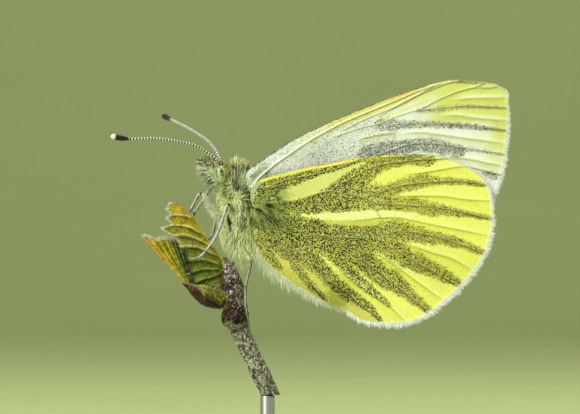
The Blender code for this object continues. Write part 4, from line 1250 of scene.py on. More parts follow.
# How the fur lies: x, z, direction in degrees from +X towards +Z, length
FUR_SITES = [
    (-7.1, 29.5, 100, 0.75), (-8.4, 29.5, 125, 0.42), (-8.9, 28.9, 165, 0.35),
    (-8.1, 27.5, 225, 0.6), (-6.9, 28.5, 92, 0.7), (-7.5, 29.3, 110, 0.5), (-6.6, 29.1, 95, 0.5),
    (-5.9, 29.1, 45, 0.4), (-5.4, 28.8, 32, 0.7), (-5.1, 28.2, 28, 0.9), (-5.1, 27.6, 12, 0.9),
    (-7.4, 27.6, 225, 0.4), (-7.03, 28.8, 100, 0.14), (-6.7, 28, 85, 0.5), (-6, 28, 62, 0.75),
    (-5.6, 27, 15, 0.5), (-6.3, 27.2, 70, 0.3), (-6.9, 26.7, 250, 0.24), (-7.9, 26.6, 225, 0.4),
    (-8, 25.6, 225, 0.45), (-6.2, 25.5, 268, 0.55), (-6.4, 24.2, 258, 0.55), (-5.4, 25.9, 245, 0.6),
    (-6.92, 24.5, 265, 0.08), (-7.2, 24.6, 255, 0.3), (-5.4, 24.3, 228, 0.9),
    (-7.5, 23.7, 238, 0.5), (-6.9, 22.9, 255, 0.85), (-6.2, 22.2, 272, 1.2), (-5.3, 22.4, 297, 1.2),
    (-3.5, 21.5, 318, 0.5), (-1, 20, 322, 0.35), (1, 19, 322, 0.3)]


def body_tone(points, look):
    """The coat's colour anywhere on the body: fur tone, bands, one of them a painted shadow, and
    streaky variation.
    """
    paint = Paint(len(points), look.fur)
    paint.lay(0.5 * noise(points * [1.6, 1.6, 0.5], 0.35, 61), tint(222, 226, 176))
    paint.lay(0.35 * noise(points * [1.6, 1.6, 0.6], 0.28, 62), tint(110, 116, 62))
    for share, band, colour in BODY_BANDS:
        paint.lay(share * within(points[:, [0, 2]], band, 1.3, 0.6), tint(*colour))
    return paint.colour


def fur_lie(points):
    """Direction and length of the fur: the sites' own, weighted by nearness."""
    sites = np.array(FUR_SITES)
    gap = points[:, None, [0, 2]] - sites[:, :2]
    weight = 1.0 / ((gap * gap).sum(-1) + 0.04) ** 2
    weight /= weight.sum(1, keepdims=True)
    angle = np.radians(sites[:, 2])
    way = np.column_stack([weight @ np.cos(angle), np.zeros(len(points)), weight @ np.sin(angle)])
    return way, weight @ sites[:, 3]


# Knees, colours of thigh and shin, and directions of the two spurs and the two claws
KNEES = {"front_left": 2, "hind_left": 2}
LEG_TONES = {"front": ((232, 240, 210), (214, 212, 200)), "mid": ((176, 182, 136), (226, 224, 226)),
             "hind": ((226, 230, 156), (186, 184, 176))}
LEG_SPURS = [
    [0.4, -0.5, -0.3],
    [-0.3, 0.5, -0.4],
    [0.1, -0.7, -0.3],
    [0.1, 0.7, -0.3],
]
# Dark spots of the eye: place, reach, strength
EYE_SPOTS = [
    ((-7.57, 1.14, 28.74), 0.13, 1), ((-7.45, 1.1, 28.4), 0.08, 0.5),
    ((-7.72, 1.15, 28.35), 0.08, 0.5), ((-7.8, 1.1, 28.7), 0.07, 0.45),
    ((-7.6, 1.12, 28.08), 0.07, 0.4)]


def leg_tone(points):
    """Pale legs with a dark line along the outer side and dark joints; also how near a leg is."""
    near, colour = np.full(len(points), 9.0), np.zeros((len(points), 3))
    joint_dark, line_dark = tint(26, 24, 16), tint(52, 48, 36)
    for name in LEGS:
        route, thick, along, at = leg_route(name)
        gap = points[:, None] - route[None, ::3]
        far = np.linalg.norm(gap, axis=-1)
        pick = far.argmin(axis=1)
        thick, spot = thick[::3][pick], along[::3][pick]
        this = far.min(axis=1) / thick
        thigh, shin = (tint(*tone) for tone in LEG_TONES[name.split("_")[0]])
        knee = at[KNEES.get(name, 1)]
        past_knee = softly(spot, knee - 0.1, knee + 0.1)
        tone = toward(thigh, past_knee, shin)
        dashes = (0.35 + 0.6 * softly(noise(points, 0.3, 63), -0.2, 0.2)) * (0.3 + 0.7 * past_knee)
        forward = gap[np.arange(len(points)), pick, 0]
        tone = toward(tone, softly(forward / thick, 0.0, 0.4) * dashes, line_dark)
        for joint in (knee, at[SHIN_END]):
            tone = toward(tone, np.exp(-((spot - joint) / 0.1) ** 2) * 0.9, joint_dark)
        tone = toward(tone, softly(spot, at[SHIN_END], at[-1]) * 0.4, line_dark)
        closer = this < near
        near[closer], colour[closer] = this[closer], tone[closer]
    return near, colour


def fused(shapes, voxel):
    """Solid shapes melted into one closed surface by a fine voxel grid, then relaxed."""
    mesh = bpy.data.meshes.new("melt")
    faces, at = [], 0
    for points, *kinds in shapes:
        for kind in kinds:
            faces += (kind + at).tolist()
        at += len(points)
    mesh.from_pydata(np.vstack([shape[0] for shape in shapes]).tolist(), [], faces)
    melt = linked("melt", mesh)
    remesh = melt.modifiers.new("melt", "REMESH")
    remesh.mode, remesh.voxel_size = "VOXEL", voxel
    relax = melt.modifiers.new("relax", "SMOOTH")
    relax.factor, relax.iterations = 0.5, 3
    bpy.context.view_layer.update()
    result = melt.evaluated_get(bpy.context.evaluated_depsgraph_get()).to_mesh()

    def read(items, field, each=1, kind=int):
        values = np.zeros(each * len(items), kind)
        items.foreach_get(field, values)
        return values

    points = read(result.vertices, "co", 3, float).reshape(-1, 3)
    corners = read(result.loops, "vertex_index")
    totals, starts = (read(result.polygons, field) for field in ("loop_total", "loop_start"))
    quads, tris = (corners[starts[totals == n][:, None] + np.arange(n)] for n in (4, 3))
    melt.to_mesh_clear()
    bpy.data.objects.remove(melt, do_unlink=True)
    return points, quads, tris


def make_skin(look):
    """Head, thorax, abdomen, palps and legs as one skin without seams."""
    sweeps = [*body_sweeps(look.coat_depth).values(), *palp_sweeps()]
    for name in LEGS:
        route, thick, _, _ = leg_route(name)
        sweeps.append(Sweep(route, thick, thick, 14))
    points, quads, tris = fused([sweep.mesh() for sweep in sweeps], SKIN_GRID)
    # the skin takes the coat's colour at 0.7: darker, as painted shade under the fur
    colour = 0.7 * body_tone(points, look)
    near, legs = leg_tone(points)
    share = softly(-near, -2.4, -1.5) * softly(-points[:, 2], -26.6, -25.6)
    on_body = np.zeros(len(points), bool)
    for sweep in body_sweeps(look.coat_depth - 0.1).values():
        on_body |= inside(sweep, points, 1.0)
    share = np.maximum(share, near < 1.6) * ~on_body
    return make_piece("butterfly_skin", look_of("body_skin", skin_finish), "body_fur",
                      ["head", "thorax", "abdomen", "palp_left", "palp_right",
                       *[f"leg_{name}" for name in LEGS]],
                      points, quads, tris, pigment=toward(colour, share, legs))


def inside(sweep, points, fill):
    """Which points lie within a swept ellipse, filled to a share of its size."""
    gap = points[:, None] - sweep.centre[None]
    pick = np.linalg.norm(gap, axis=-1).argmin(axis=1)
    gap = gap[np.arange(len(points)), pick]
    wide, deep = sweep.width * sweep.scale + 1e-6, sweep.depth * sweep.scale + 1e-6
    size = ((gap * sweep.side[pick]).sum(-1) / wide[pick]) ** 2 + (
        (gap * sweep.up[pick]).sum(-1) / deep[pick]) ** 2
    beyond = np.abs((gap * sweep.forward[pick]).sum(-1)) > 0.25
    return (size < fill * fill) & ~beyond


def scattered(sweep, count, rng):
    """Roots strewn evenly by area over a swept surface, outward and forward directions, and each
    root's place on the sweep's own unwrap (share of the way along, share of the turn)."""
    grid = sweep.points()
    grid = np.concatenate([grid, grid[:, :1]], axis=1)
    along, across = np.diff(grid[:, :-1], axis=0), np.diff(grid[:-1], axis=1)
    normal = np.cross(across, along)
    area = np.linalg.norm(normal, axis=-1)
    pick = rng.choice(area.size, count, p=(area / area.sum()).ravel())
    row, column = np.unravel_index(pick, area.shape)
    u, v = rng.uniform(0, 1, (2, count, 1))
    roots = (grid[row, column] * (1 - u) * (1 - v) + grid[row + 1, column] * u * (1 - v)
             + grid[row, column + 1] * (1 - u) * v + grid[row + 1, column + 1] * u * v)
    place = np.column_stack([(row + u[:, 0]) / area.shape[0], (column + v[:, 0]) / area.shape[1]])
    return roots, unit(normal[row, column]), sweep.forward[row], place


def add_fur(shape, sweep, count, width, look, rng, region, keep_out, rise=0.85, size=1.0):
    """Fur over a swept surface: each hair leaves it at a slant, lies as fur_lie says and draws
    towards its bunch; it grows neither inside a neighbour nor under an eye."""
    roots, out, _, place = scattered(sweep, count, rng)
    eye = np.abs(roots) * [0, 1, 0] + roots * [1, 0, 1] - EYE_CENTRE
    eye /= np.array(EYE_REACH) * 1.02
    keep = np.linalg.norm(eye, axis=1) > 1.0
    for other in keep_out:
        keep &= ~inside(other, roots, 0.97)
    roots, out, place = roots[keep], out[keep], place[keep]
    count = len(roots)
    way, length = fur_lie(roots)
    way = unit(way - 0.9 * (way * out).sum(1, keepdims=True) * out)
    pull, tone = bunches(roots, 0.24, 33)
    lie = unit(way + rise * out + rng.normal(0, 0.24, (count, 3)))
    long = size * look.hair_length * length * (0.7 + 0.5 * tone) * rng.uniform(0.7, 1.2, count)
    bend = 0.55 * pull / np.maximum(long, 0.2)[:, None] + 0.25 * way - 0.15 * out
    dark = 0.12 + 0.42 * sum(within(roots[:, [0, 2]], band, 1.3, 0.6) for band in DARK_FUR)
    strand = np.where(rng.uniform(0, 1, count) < dark, 0.12, rng.uniform(0.85, 1.4, count))
    colour = body_tone(roots, look) * ((1.2 + 0.9 * tone) * strand)[:, None]
    colour *= np.minimum(1, 0.93 / colour.max(1, keepdims=True))
    add_hairs(shape, roots - 0.04 * out, lie, long, width * rng.uniform(0.7, 1.3, count), colour,
              np.array(region[:2]) + place * region[2:], 0.85, bend=bend,
              broad=np.cross(lie, out), thin=0.6)


def palp_fur(shape, index, palp, rng):
    """One palp's long black and pale bristles in front and short scales behind."""
    roots, out, forward, place = scattered(palp, 800, rng)
    along, count = place[:, 0], len(roots)
    front = -out[:, 0] - 0.2 * out[:, 2] + 0.3 * rng.normal(0, 1, count) > 0.35
    angle = np.radians(np.interp(along, [0, 0.5, 1], [232, 192, 165])) + rng.normal(0, 0.2, count)
    way = np.column_stack([np.cos(angle), rng.normal(0, 0.3, count), np.sin(angle)])
    lie = np.where(front[:, None], way, forward + 0.3 * out)
    size = np.where(front, np.interp(along, [0, 0.5, 0.8, 1], [0.75, 0.95, 0.55, 0.2]), 0.12)
    black = (rng.uniform(0, 1, count) < 0.42) & front
    stalk = ~front & (along < 0.93)
    colour = np.tile(tint(238, 240, 200), (count, 1))
    colour[black] = tint(20, 18, 10)
    colour[stalk] = tint(196, 206, 190)
    colour[stalk & (np.abs(out[:, 1]) < 0.75)] = tint(40, 44, 34)
    colour[(along > 0.84) & (out[:, 2] < 0.7) & (along < 0.94)] = tint(20, 20, 16)
    add_hairs(shape, roots, lie, size * rng.uniform(0.5, 1.15, count), 0.048,
              colour * rng.uniform(0.85, 1.05, (count, 1)),
              np.array([0.52 + 0.22 * index, 0.05]) + place * [0.2, 0.4], 0.95)


def make_coat(look):
    """The fur of the trunk and the head, in two pieces."""
    rng = np.random.default_rng(7)
    sweeps = body_sweeps(look.coat_depth)
    hair = look_of("body_hair", hair_finish, 0.6, 0.1)
    for piece, coats in FUR.items():
        shape = Shape()
        for name, count, width, region, keep_out, rise, size in coats:
            add_fur(shape, sweeps[name], count, width, look, rng, region,
                    [sweeps[other] for other in keep_out], rise, size)
        if piece == "coat_head":
            for index, palp in enumerate(palp_sweeps()):
                palp_fur(shape, index, palp, rng)
        settle(shape.build(piece, [hair]), "body_fur")


def make_leg_coat():
    """Short scales and hairs along the legs, spurs at the shins and claws at the feet."""
    rng = np.random.default_rng(19)
    shape = Shape()
    for index, name in enumerate(LEGS):
        route, thick, along, at = leg_route(name)
        roots, out, forward, place = scattered(Sweep(route, thick, thick, 14), 1100, rng)
        front, knee = name == "front_left", at[KNEES.get(name, 1)]
        thigh = softly(-place[:, 0] * along[-1], -knee, -0.6 * knee)
        lie = forward + (0.25 + 0.6 * thigh)[:, None] * out
        lie = lie + (1.1 * thigh * front)[:, None] * np.array([-0.4, 0.0, -1.0])
        size = 0.09 + (0.5 if front else 0.14) * thigh * rng.uniform(0.4, 1.2, len(roots))
        colour = toward(leg_tone(roots)[1], 0.7 * front * thigh, tint(240, 246, 218))
        add_hairs(shape, roots, lie, size, 0.05 if front else 0.036,
                  colour * rng.uniform(0.6, 1.25, (len(roots), 1)),
                  np.array([0.02 + 0.16 * index, 0.02]) + place * [0.14, 0.5], 0.85)
        shin = np.argmin(np.abs(along - at[SHIN_END]))
        ends = [shin, shin, -1, -1]
        way = unit(np.gradient(route, axis=0))[ends] + LEG_SPURS
        add_hairs(shape, route[ends], way, [0.34, 0.3, 0.2, 0.2], 0.06,
                  np.tile(tint(58, 50, 34), (4, 1)), np.full((4, 2), 0.9), 0.9)
    finish = look_of("leg_scales", hair_finish, 0.5, 0.15)
    return settle(shape.build("coat_legs", [finish]), "leg_shell")


def eye_finish(name):
    """Glossy faceted eye: pale green with a dark spot that looks straight out, and fainter spots,
    browner and more broken above."""
    look = Finish(name, 0.25, Coat_Weight=0.35, Coat_Roughness=0.12)
    place = look.place()
    facets, value = look.cells(place, 26.0, 0.25)
    streak = look.noise(look.place((1.0, 1.0, 0.35), (0.0, 0.25, 0.0)), 3.2, 2.0)
    colour = look.blend(look.between(streak, 0.32, 0.66), tint(84, 112, 50), tint(196, 218, 148))
    colour = look.blend(look.between(value, 0.0, 1.0, 0.0, 0.3), colour, tint(96, 118, 66))
    across = look.node("SeparateXYZ", "X", {"Vector": place})
    beside, height = (across.node.outputs[axis] for axis in "YZ")
    folded = look.node("CombineXYZ", "Vector", {"X": across, "Y": look.math("ABSOLUTE", beside),
                                                "Z": height})
    upper = look.math("MULTIPLY", look.between(height, 28.6, 29.1),
                      look.between(look.noise(place, 7.0, 2.0), 0.48, 0.6))
    colour = look.blend(look.math("MULTIPLY", upper, 0.75), colour, tint(112, 96, 44))
    for spot, reach, share in EYE_SPOTS:
        far = look.node("VectorMath", "Value", {0: folded, 1: spot}, operation="DISTANCE")
        colour = look.blend(look.between(far, 0.6 * reach, 1.2 * reach, share, 0.0), colour,
                            tint(14, 18, 8))
    return look.done(colour, None, look.bump(facets, 0.006, 0.6))


def make_eyes():
    """Egg-shaped eyes: points at centre + reach * (cos * cos, sin * cos, sin) of two angles."""
    rows, columns = 60, 96
    up = np.linspace(-math.pi / 2, math.pi / 2, rows + 2)[1:-1, None]
    turn = np.linspace(0, 2 * math.pi, columns, endpoint=False)[None]
    ball = np.stack([np.cos(up) * np.cos(turn), np.cos(up) * np.sin(turn),
                     np.sin(up) + 0 * turn], axis=-1).reshape(-1, 3)
    x, y, z = (np.vstack([ball, [0, 0, -1], [0, 0, 1]]) * EYE_REACH).T
    cos, sin = math.cos(EYE_LEAN), math.sin(EYE_LEAN)
    ball = np.column_stack([cos * x + sin * z, y, -sin * x + cos * z])
    finish = look_of("eye_facets", eye_finish)
    for word, side in SIDES:
        centre = np.array(EYE_CENTRE) * [1, side, 1]
        make_piece(f"eye_{word}_lens", finish, "eye_lens", [f"eye_{word}"], ball + centre,
                   lattice(rows, columns), caps(rows, columns))


def make_antennae(look):
    """Beaded, ringed feelers with a dark club and a pale tip."""
    finish = look_of("feeler_rings", hair_finish, 0.45, 0.1)
    for name, joints in ANTENNAE.items():
        route, along = even_route(smooth_curve(joints, 200), 0.028)
        left = along[-1] - along
        beat = np.mod(38 * along / along[-1], 1.0)
        thick = (0.1 * (1 + 0.1 * np.cos(2 * math.pi * (beat - 0.5)))
                 + 0.15 * softly(-left, -1.75, -0.75))
        thick = thick * np.sqrt(1 - (np.clip(0.18 - left, 0, 1) / 0.25) ** 2)
        tube = Sweep(route, thick, thick, 14, dome=0.6)
        black, pale = np.array(look.antenna), tint(232, 228, 204)
        if name.endswith("right"):
            black, pale = tint(34, 30, 24), tint(150, 130, 98)
        colour = toward(black, 1 - softly(np.abs(beat - 0.5), 0.2, 0.3), tint(234, 234, 226))
        colour = toward(colour, softly(-left, -1.7, -1.3), black)
        colour = toward(colour, softly(-left, -0.3, -0.22), pale)
        make_piece(f"{name}_shaft", finish, "feeler_shell", [name], *tube.mesh(),
                   pigment=tube.spread(colour))


# ---------------------------------------------------------------- perch

def outward(points, quads, tris=()):
    """The faces turned round if they enclose a negative volume."""
    corners = np.vstack([quads[:, :3], quads[:, [0, 2, 3]], np.reshape(tris, (-1, 3)).astype(int)])
    a, b, c = points[corners.T]
    if (a * np.cross(b, c)).sum() >= 0:
        return quads, tris
    return quads[:, ::-1], tris[:, ::-1] if len(tris) else tris


def grid_normals(grid):
    """Unit normals of a grid of points, square to both its directions."""
    return unit(np.cross(np.gradient(grid, axis=1), np.gradient(grid, axis=0)))


def plate(middle, thickness):
    """A sheet given by a grid of middle points, thickened along its normals and closed round its
    four edges."""
    rows, columns = middle.shape[:2]
    half = 0.5 * np.broadcast_to(thickness, (rows, columns))[..., None] * grid_normals(middle)
    points = np.concatenate([(middle + half).reshape(-1, 3), (middle - half).reshape(-1, 3)])
    count = rows * columns
    sheet = lattice(rows, columns, around=False)
    index = np.arange(count).reshape(rows, columns)
    border = np.concatenate([index[0, :-1], index[:-1, -1], index[-1, :0:-1], index[:0:-1, 0]])
    following = np.roll(border, -1)
    rim = np.column_stack([border, border + count, following + count, following])
    return points, outward(points, np.vstack([sheet, sheet[:, ::-1] + count, rim]))[0]


def bark_finish(name):
    """Grey-brown bark: small pale cork grains between dark cracks, and pale breathing pores."""
    look = Finish(name, 0.85)
    place = look.place((1.0, 1.0, 0.7), (0.0, -0.4, 0.0))
    cork = look.noise(place, 5.5, 5.0, 0.7)
    far, value = look.cells(place, 6.5)
    colour = look.blend(look.between(cork, 0.38, 0.62), tint(64, 62, 42), tint(156, 154, 122))
    for share, above in ((look.between(value, 0.5, 0.75, 0.0, 0.7), tint(190, 190, 158)),
                         (look.between(far, 0.45, 0.68, 0.0, 0.7), tint(44, 42, 28)),
                         (look.mark("pore"), tint(206, 202, 178)),
                         (look.mark("furrow"), tint(26, 22, 12))):
        colour = look.blend(share, colour, above)
    relief = look.bump(far, -0.08, 0.8, Normal=look.bump(cork, 0.12, 0.8))
    return look.done(colour, look.between(cork, 0.3, 0.7, 0.75, 0.95), relief)


def bud_finish(name):
    """Dry bud scale: painted browns, broken up by small flakes and glossy where bare."""
    look = Finish(name, 0.5, Coat_Weight=0.08, Coat_Roughness=0.3, Specular_IOR_Level=0.25)
    place = look.place((1.0, 1.0, 0.6))
    streak = look.noise(place, 6.0, 5.0, 0.7)
    far, value = look.cells(place, 7.5)
    colour = look.blend(look.between(far, 0.42, 0.62, 0.0, 0.6),
                        look.painted(look.between(streak, 0.36, 0.64, 0.45, 1.45)), tint(20, 10, 4))
    relief = look.bump(value, 0.05, 0.7, Normal=look.bump(streak, 0.1, 0.8))
    return look.done(colour, look.between(value, 0.3, 0.7, 0.3, 0.65), relief)


def bud_tone(points, dry, young, seed):
    """Colours of bud skin: dark and red-brown mottling, silvery where dry, olive where young."""
    paint = Paint(len(points), tint(50, 24, 10))
    paint.lay(0.5 + 0.7 * noise(points, 0.34, seed), tint(18, 7, 3))
    paint.lay(0.8 * softly(noise(points, 0.22, seed + 1), 0.15, 0.6), tint(104, 46, 26))
    paint.lay((0.1 + 0.8 * dry) * softly(rough_noise(points, 0.3, 3, seed + 2), -0.1, 0.3),
              tint(176, 160, 130))
    paint.lay(0.8 * softly(noise(points, 0.32, seed + 10), 0.0, 0.45), tint(104, 40, 20))
    streaks, patches = points * [1, 1, 0.5], softly(noise(points, 0.6, seed + 11), -0.5, 0.2)
    paint.lay((0.15 + dry) * patches * softly(noise(streaks, 0.11, seed + 3), 0.15, 0.5),
              tint(228, 220, 202))
    paint.lay((0.1 + dry) * softly(noise(points, 0.08, seed + 6), 0.25, 0.5), tint(244, 240, 230))
    paint.lay(0.8 * softly(noise(streaks, 0.12, seed + 9), 0.15, 0.4), tint(18, 6, 3))
    paint.lay(young, tint(128, 132, 34))
    paint.lay(young * softly(noise(points, 0.5, seed + 4), 0.0, 0.7), tint(172, 170, 72))
    paint.lay(young * softly(noise(points, 0.13, seed + 5), 0.45, 0.7), tint(86, 60, 24))
    return paint.colour


def leaf_finish(name):
    """Young leaf: painted colour with painted highlights on the ribs, painted shade in the valleys
    and a pale rim, with a fine quilted relief.
    """
    look = Finish(name, 0.55, Specular_IOR_Level=0.12, Subsurface_Weight=0.12,
                  Subsurface_Scale=0.0004)
    place = look.place()
    far, value = look.cells(place, 6.5)
    shade = look.between(look.noise(place, 2.6, 4.0), 0.3, 0.7, 0.72, 1.18)
    colour = look.blend(look.between(far, 0.05, 0.5, 0.35, 0.0), look.painted(shade),
                        tint(40, 56, 4))
    return look.done(colour, look.between(value, 0.0, 1.0, 0.34, 0.55), look.bump(far, 0.05, 0.7))


def make_twig():
    """Leaning twig: an ellipse carried down a straight line, roughened by noise, with pores that
    stand proud, and sawn off level at the bottom."""
    top, cut = np.array(TWIG_TOP), np.array(TWIG_CUT)
    length = np.linspace(0, 1.12, 190)
    route = np.linspace(top, cut + 0.12 * (cut - top), 190) + np.outer(length, [0.24, 0.0])
    thick = np.interp(length, np.linspace(0, 1, 7), [0.92, 0.78, 0.8, 0.76, 0.82, 0.8, 0.8])
    tube = Sweep(upright(route), 0.94 * thick, 0.94 * thick, 110, dome=0.0)
    grid = tube.points().reshape(-1, 3)
    swell = 0.07 * rough_noise(grid * [1, 1, 0.6], 0.6, 4, 71) + 0.03 * noise(grid, 0.16, 75)
    rng = np.random.default_rng(83)
    pore = np.zeros(len(grid))
    share = np.repeat(np.clip(tube.share * 1.12, 0, 1.12), tube.sides)
    angle = np.tile(tube.angle, len(tube.centre))
    for at, turn, size in rng.uniform([0.02, 0.0, 0.05], [1.0, 2 * math.pi, 0.1], (130, 3)):
        around = 0.8 * np.abs((angle - turn + math.pi) % (2 * math.pi) - math.pi)
        down = TWIG_LENGTH * np.abs(share - at)
        pore = np.maximum(pore, np.exp(-((around / (1.5 * size)) ** 2 + (down / size) ** 2)))

    def ring(at, width):
        return np.exp(-((share - at) * TWIG_LENGTH / width) ** 2)

    swell += 0.06 * pore + 0.05 * (ring(0.31, 0.1) + 0.8 * ring(0.42, 0.07))
    furrow = softly(rough_noise(grid * [1, 1, 0.3], 0.35, 3, 78), 0.25, 0.55) * 0.7
    furrow = np.maximum(furrow, 0.8 * ring(0.02, 0.15))
    swell -= 0.04 * furrow
    points, quads, tris = tube.mesh(swell.reshape(-1, tube.sides))
    points[:, 2] = np.maximum(points[:, 2], TWIG_CUT[1])
    make_piece("perch_twig_bark", look_of("twig_bark_grain", bark_finish), "twig_bark",
               ["perch_twig"], points, quads, tris, pore=np.append(0.9 * pore, [0, 0]),
               furrow=np.append(furrow, [0, 0]))


def bud_sweep(name, node, axis, radii, seed, young):
    """A lumpy rounded stem piece with ring scars."""
    size = resampled(radii, 60)
    tube = Sweep(upright(smooth_curve(axis, 60)), 0.95 * size, 0.95 * size, 90, dome=0.25)
    grid = tube.points().reshape(-1, 3)
    share = np.repeat(tube.share, tube.sides)
    rings = sum(np.exp(-((share - at) / 0.04) ** 2) for at in (0.25, 0.5, 0.72, 0.9))
    swell = 0.1 * rough_noise(grid, 0.5, 4, seed) - 0.02 * rings
    points, quads, tris = tube.mesh(swell.reshape(-1, tube.sides))
    old = 1 - young
    colour = bud_tone(points, -0.2 * old, young, seed)
    colour[:-2] *= (1 - 0.7 * (0.2 * np.clip(rings, 0, 1) + 0.9 * old))[:, None]
    flakes = softly(noise(points * [1, 1, 0.6], 0.1, seed + 12), 0.2, 0.5)
    colour = toward(colour, 0.4 * old * flakes, tint(168, 142, 108))
    bark = softly(-points[:, 2] - 0.3 * noise(points, 0.4, seed + 8), -16.25, -15.95)
    colour = toward(colour, bark * old, tint(150, 146, 120))
    make_piece(name, look_of("bud_scale_grain", bud_finish), "bud_brown", [node], points, quads,
               tris, pigment=colour)


def make_scale(name, node, axis, radii, middle, spread, seed):
    """A spoon-shaped bud scale: arcs about an axis whose radius and spread change on the way,
    ribbed lengthwise, thinner and ragged towards its edges."""
    rows, columns = 110, 90
    route = smooth_curve(axis, rows)
    along = unit(np.gradient(route, axis=0))
    radius, reach = resampled(radii, rows), np.radians(resampled(spread, rows))
    out = np.column_stack([along[:, 1], np.zeros(rows), -along[:, 0]]) * middle
    across, share = np.meshgrid(np.linspace(-1, 1, columns), np.linspace(0, 1, rows))
    turn = (across * reach[:, None])[..., None]
    size = radius[:, None] + 0.025 * np.cos(9 * math.pi * across) * np.sin(math.pi * share)
    aside = np.array([0, 0.88 + 0.12 * middle, 0])
    grid = upright(route)[:, None] + size[..., None] * (
        np.cos(turn) * out[:, None] + np.sin(turn) * aside)
    lumps = 0.05 * rough_noise(grid.reshape(-1, 3), 0.5, 4, seed).reshape(rows, columns, 1)
    thick = 0.34 * np.clip(1.05 - across**6, 0.12, 1) * np.clip(1.6 - 1.3 * share, 0.25, 1)
    points, quads = plate(grid + lumps * grid_normals(grid), thick)
    x, z = points[:, 0], points[:, 2]
    if middle > 0:
        young = 0.0
        dry = 0.9 * softly(x + 0.35 * (z - 19.0) + 0.5 * noise(points, 0.8, seed + 7), -7.5, -6.6)
    else:
        young = softly(z + 0.75 * x + 0.25 * noise(points, 0.5, seed + 7), 11.5, 12.4)
        dry = 0.3 * softly(z, 18.6, 19.4) - 0.1
    make_piece(name, look_of("bud_scale_grain", bud_finish), "bud_brown", [node], points, quads,
               pigment=bud_tone(points, dry, young, seed))


def make_down(name, middle, chance, rng):
    """A leaf's short white hairs: most on its ribs, and longer ones on its rim."""
    (rows, columns), count = middle.shape[:2], 1300
    pick = rng.choice(rows * columns, count, p=chance / chance.sum())
    row, column = np.unravel_index(pick, (rows, columns))
    away = unit(middle[row, columns - 1] - middle[row, 0])
    facing = rng.choice([-1.0, 1.0], count, p=[0.7, 0.3])[:, None] * np.array([0, 1.0, 0])
    lie = away + 0.7 * facing + rng.normal(0, 0.3, (count, 3))
    length = np.where(column / (columns - 1) > 0.9, 0.4, 0.17) * rng.uniform(0.5, 1.2, count)
    down = Shape()
    add_hairs(down, middle[row, column] + 0.05 * facing, lie, length, 0.028,
              np.tile(tint(232, 232, 214), (count, 1)),
              np.column_stack([row / rows, column / columns]) * 0.95 + 0.02, 0.95)
    hairs = look_of("leaf_down", hair_finish, 0.5, 0.2)
    settle(down.build(f"coat_{name}", [hairs]), "leaf_green")


def leaf_paint(flat, t, crest, side, up, seed, look, fan):
    """Colours of a leaf, with painted highlights on its ribs and painted shade below them, where t
    climbs from each rib to the next, crest is 1 on a rib, side climbs from the inner line to the
    margin and up climbs along the leaf."""
    paint = Paint(len(flat), look.leaf)
    blotch = noise(flat, 0.8, seed + 2)
    paint.lay(0.4 + 0.4 * blotch, tint(120, 132, 2))
    # low is the dark green of painted shade in the valleys
    uneven, low = up + 0.1 * blotch, tint(28, 54, 0)
    if fan:
        warm = softly(uneven, 0.53, 0.92)
        paint.lay(0.85 * warm, tint(214, 178, 30))
        # the fan's right part, beside the right leaf: its own deeper green and painted shade
        paint.lay(0.95 * softly(-up, -0.5, -0.2), tint(30, 52, 0))
        # painted shade in the valleys between the fan's ribs
        paint.lay(0.6 * softly(-np.abs(t - 0.5), -0.35, 0.0) * (1 - warm), low)
    else:
        warm = softly(uneven, 0.35, 0.85)
        paint.lay(0.85 * warm, tint(194, 164, 24))
        # painted shade that deepens towards the valley under the next rib
        paint.lay(0.8 * softly(t, 0.25, 0.95) * (1 - 0.6 * warm), low)
    paint.lay(0.5 * (1 - warm) * softly(-up, -0.5, -0.15), tint(52, 84, 0))
    paint.lay(0.4 * softly(noise(flat, 0.2, seed + 5), 0.2, 0.7), tint(92, 78, 10))
    # painted highlight along the crest of each rib
    pale = crest * (0.75 + 0.35 * noise(flat, 0.3, seed + 3))
    pale = 0.75 * pale * (0.45 if fan else softly(side, 0.02, 0.3))
    paint.lay(pale * (0.3 + 0.7 * softly(up, 0.25, 0.6)),
              tint(186, 186, 70) if fan else tint(238, 226, 156))
    paint.lay(0.8 * softly(side, 0.93, 0.99) * softly(up, 0.4, 0.6), tint(222, 204, 152))
    if fan:
        paint.lay(0.75 * softly(up, 0.9, 1.0), tint(196, 140, 60))
        paint.lay(0.8 * softly(side, 0.7, 1.0) * softly(up, 0.86, 1.0), tint(176, 76, 40))
    else:
        # painted shadow along the margin of the leaf's lower half
        paint.lay(softly(side, 0.8, 0.92) * softly(-up, -0.48, -0.4), tint(24, 44, 2))
        paint.lay(0.85 * softly(-side, -0.06, -0.015), tint(206, 178, 76))
        paint.lay(0.6 * softly(up, 0.94, 1.0), tint(190, 96, 62))
    return paint.colour


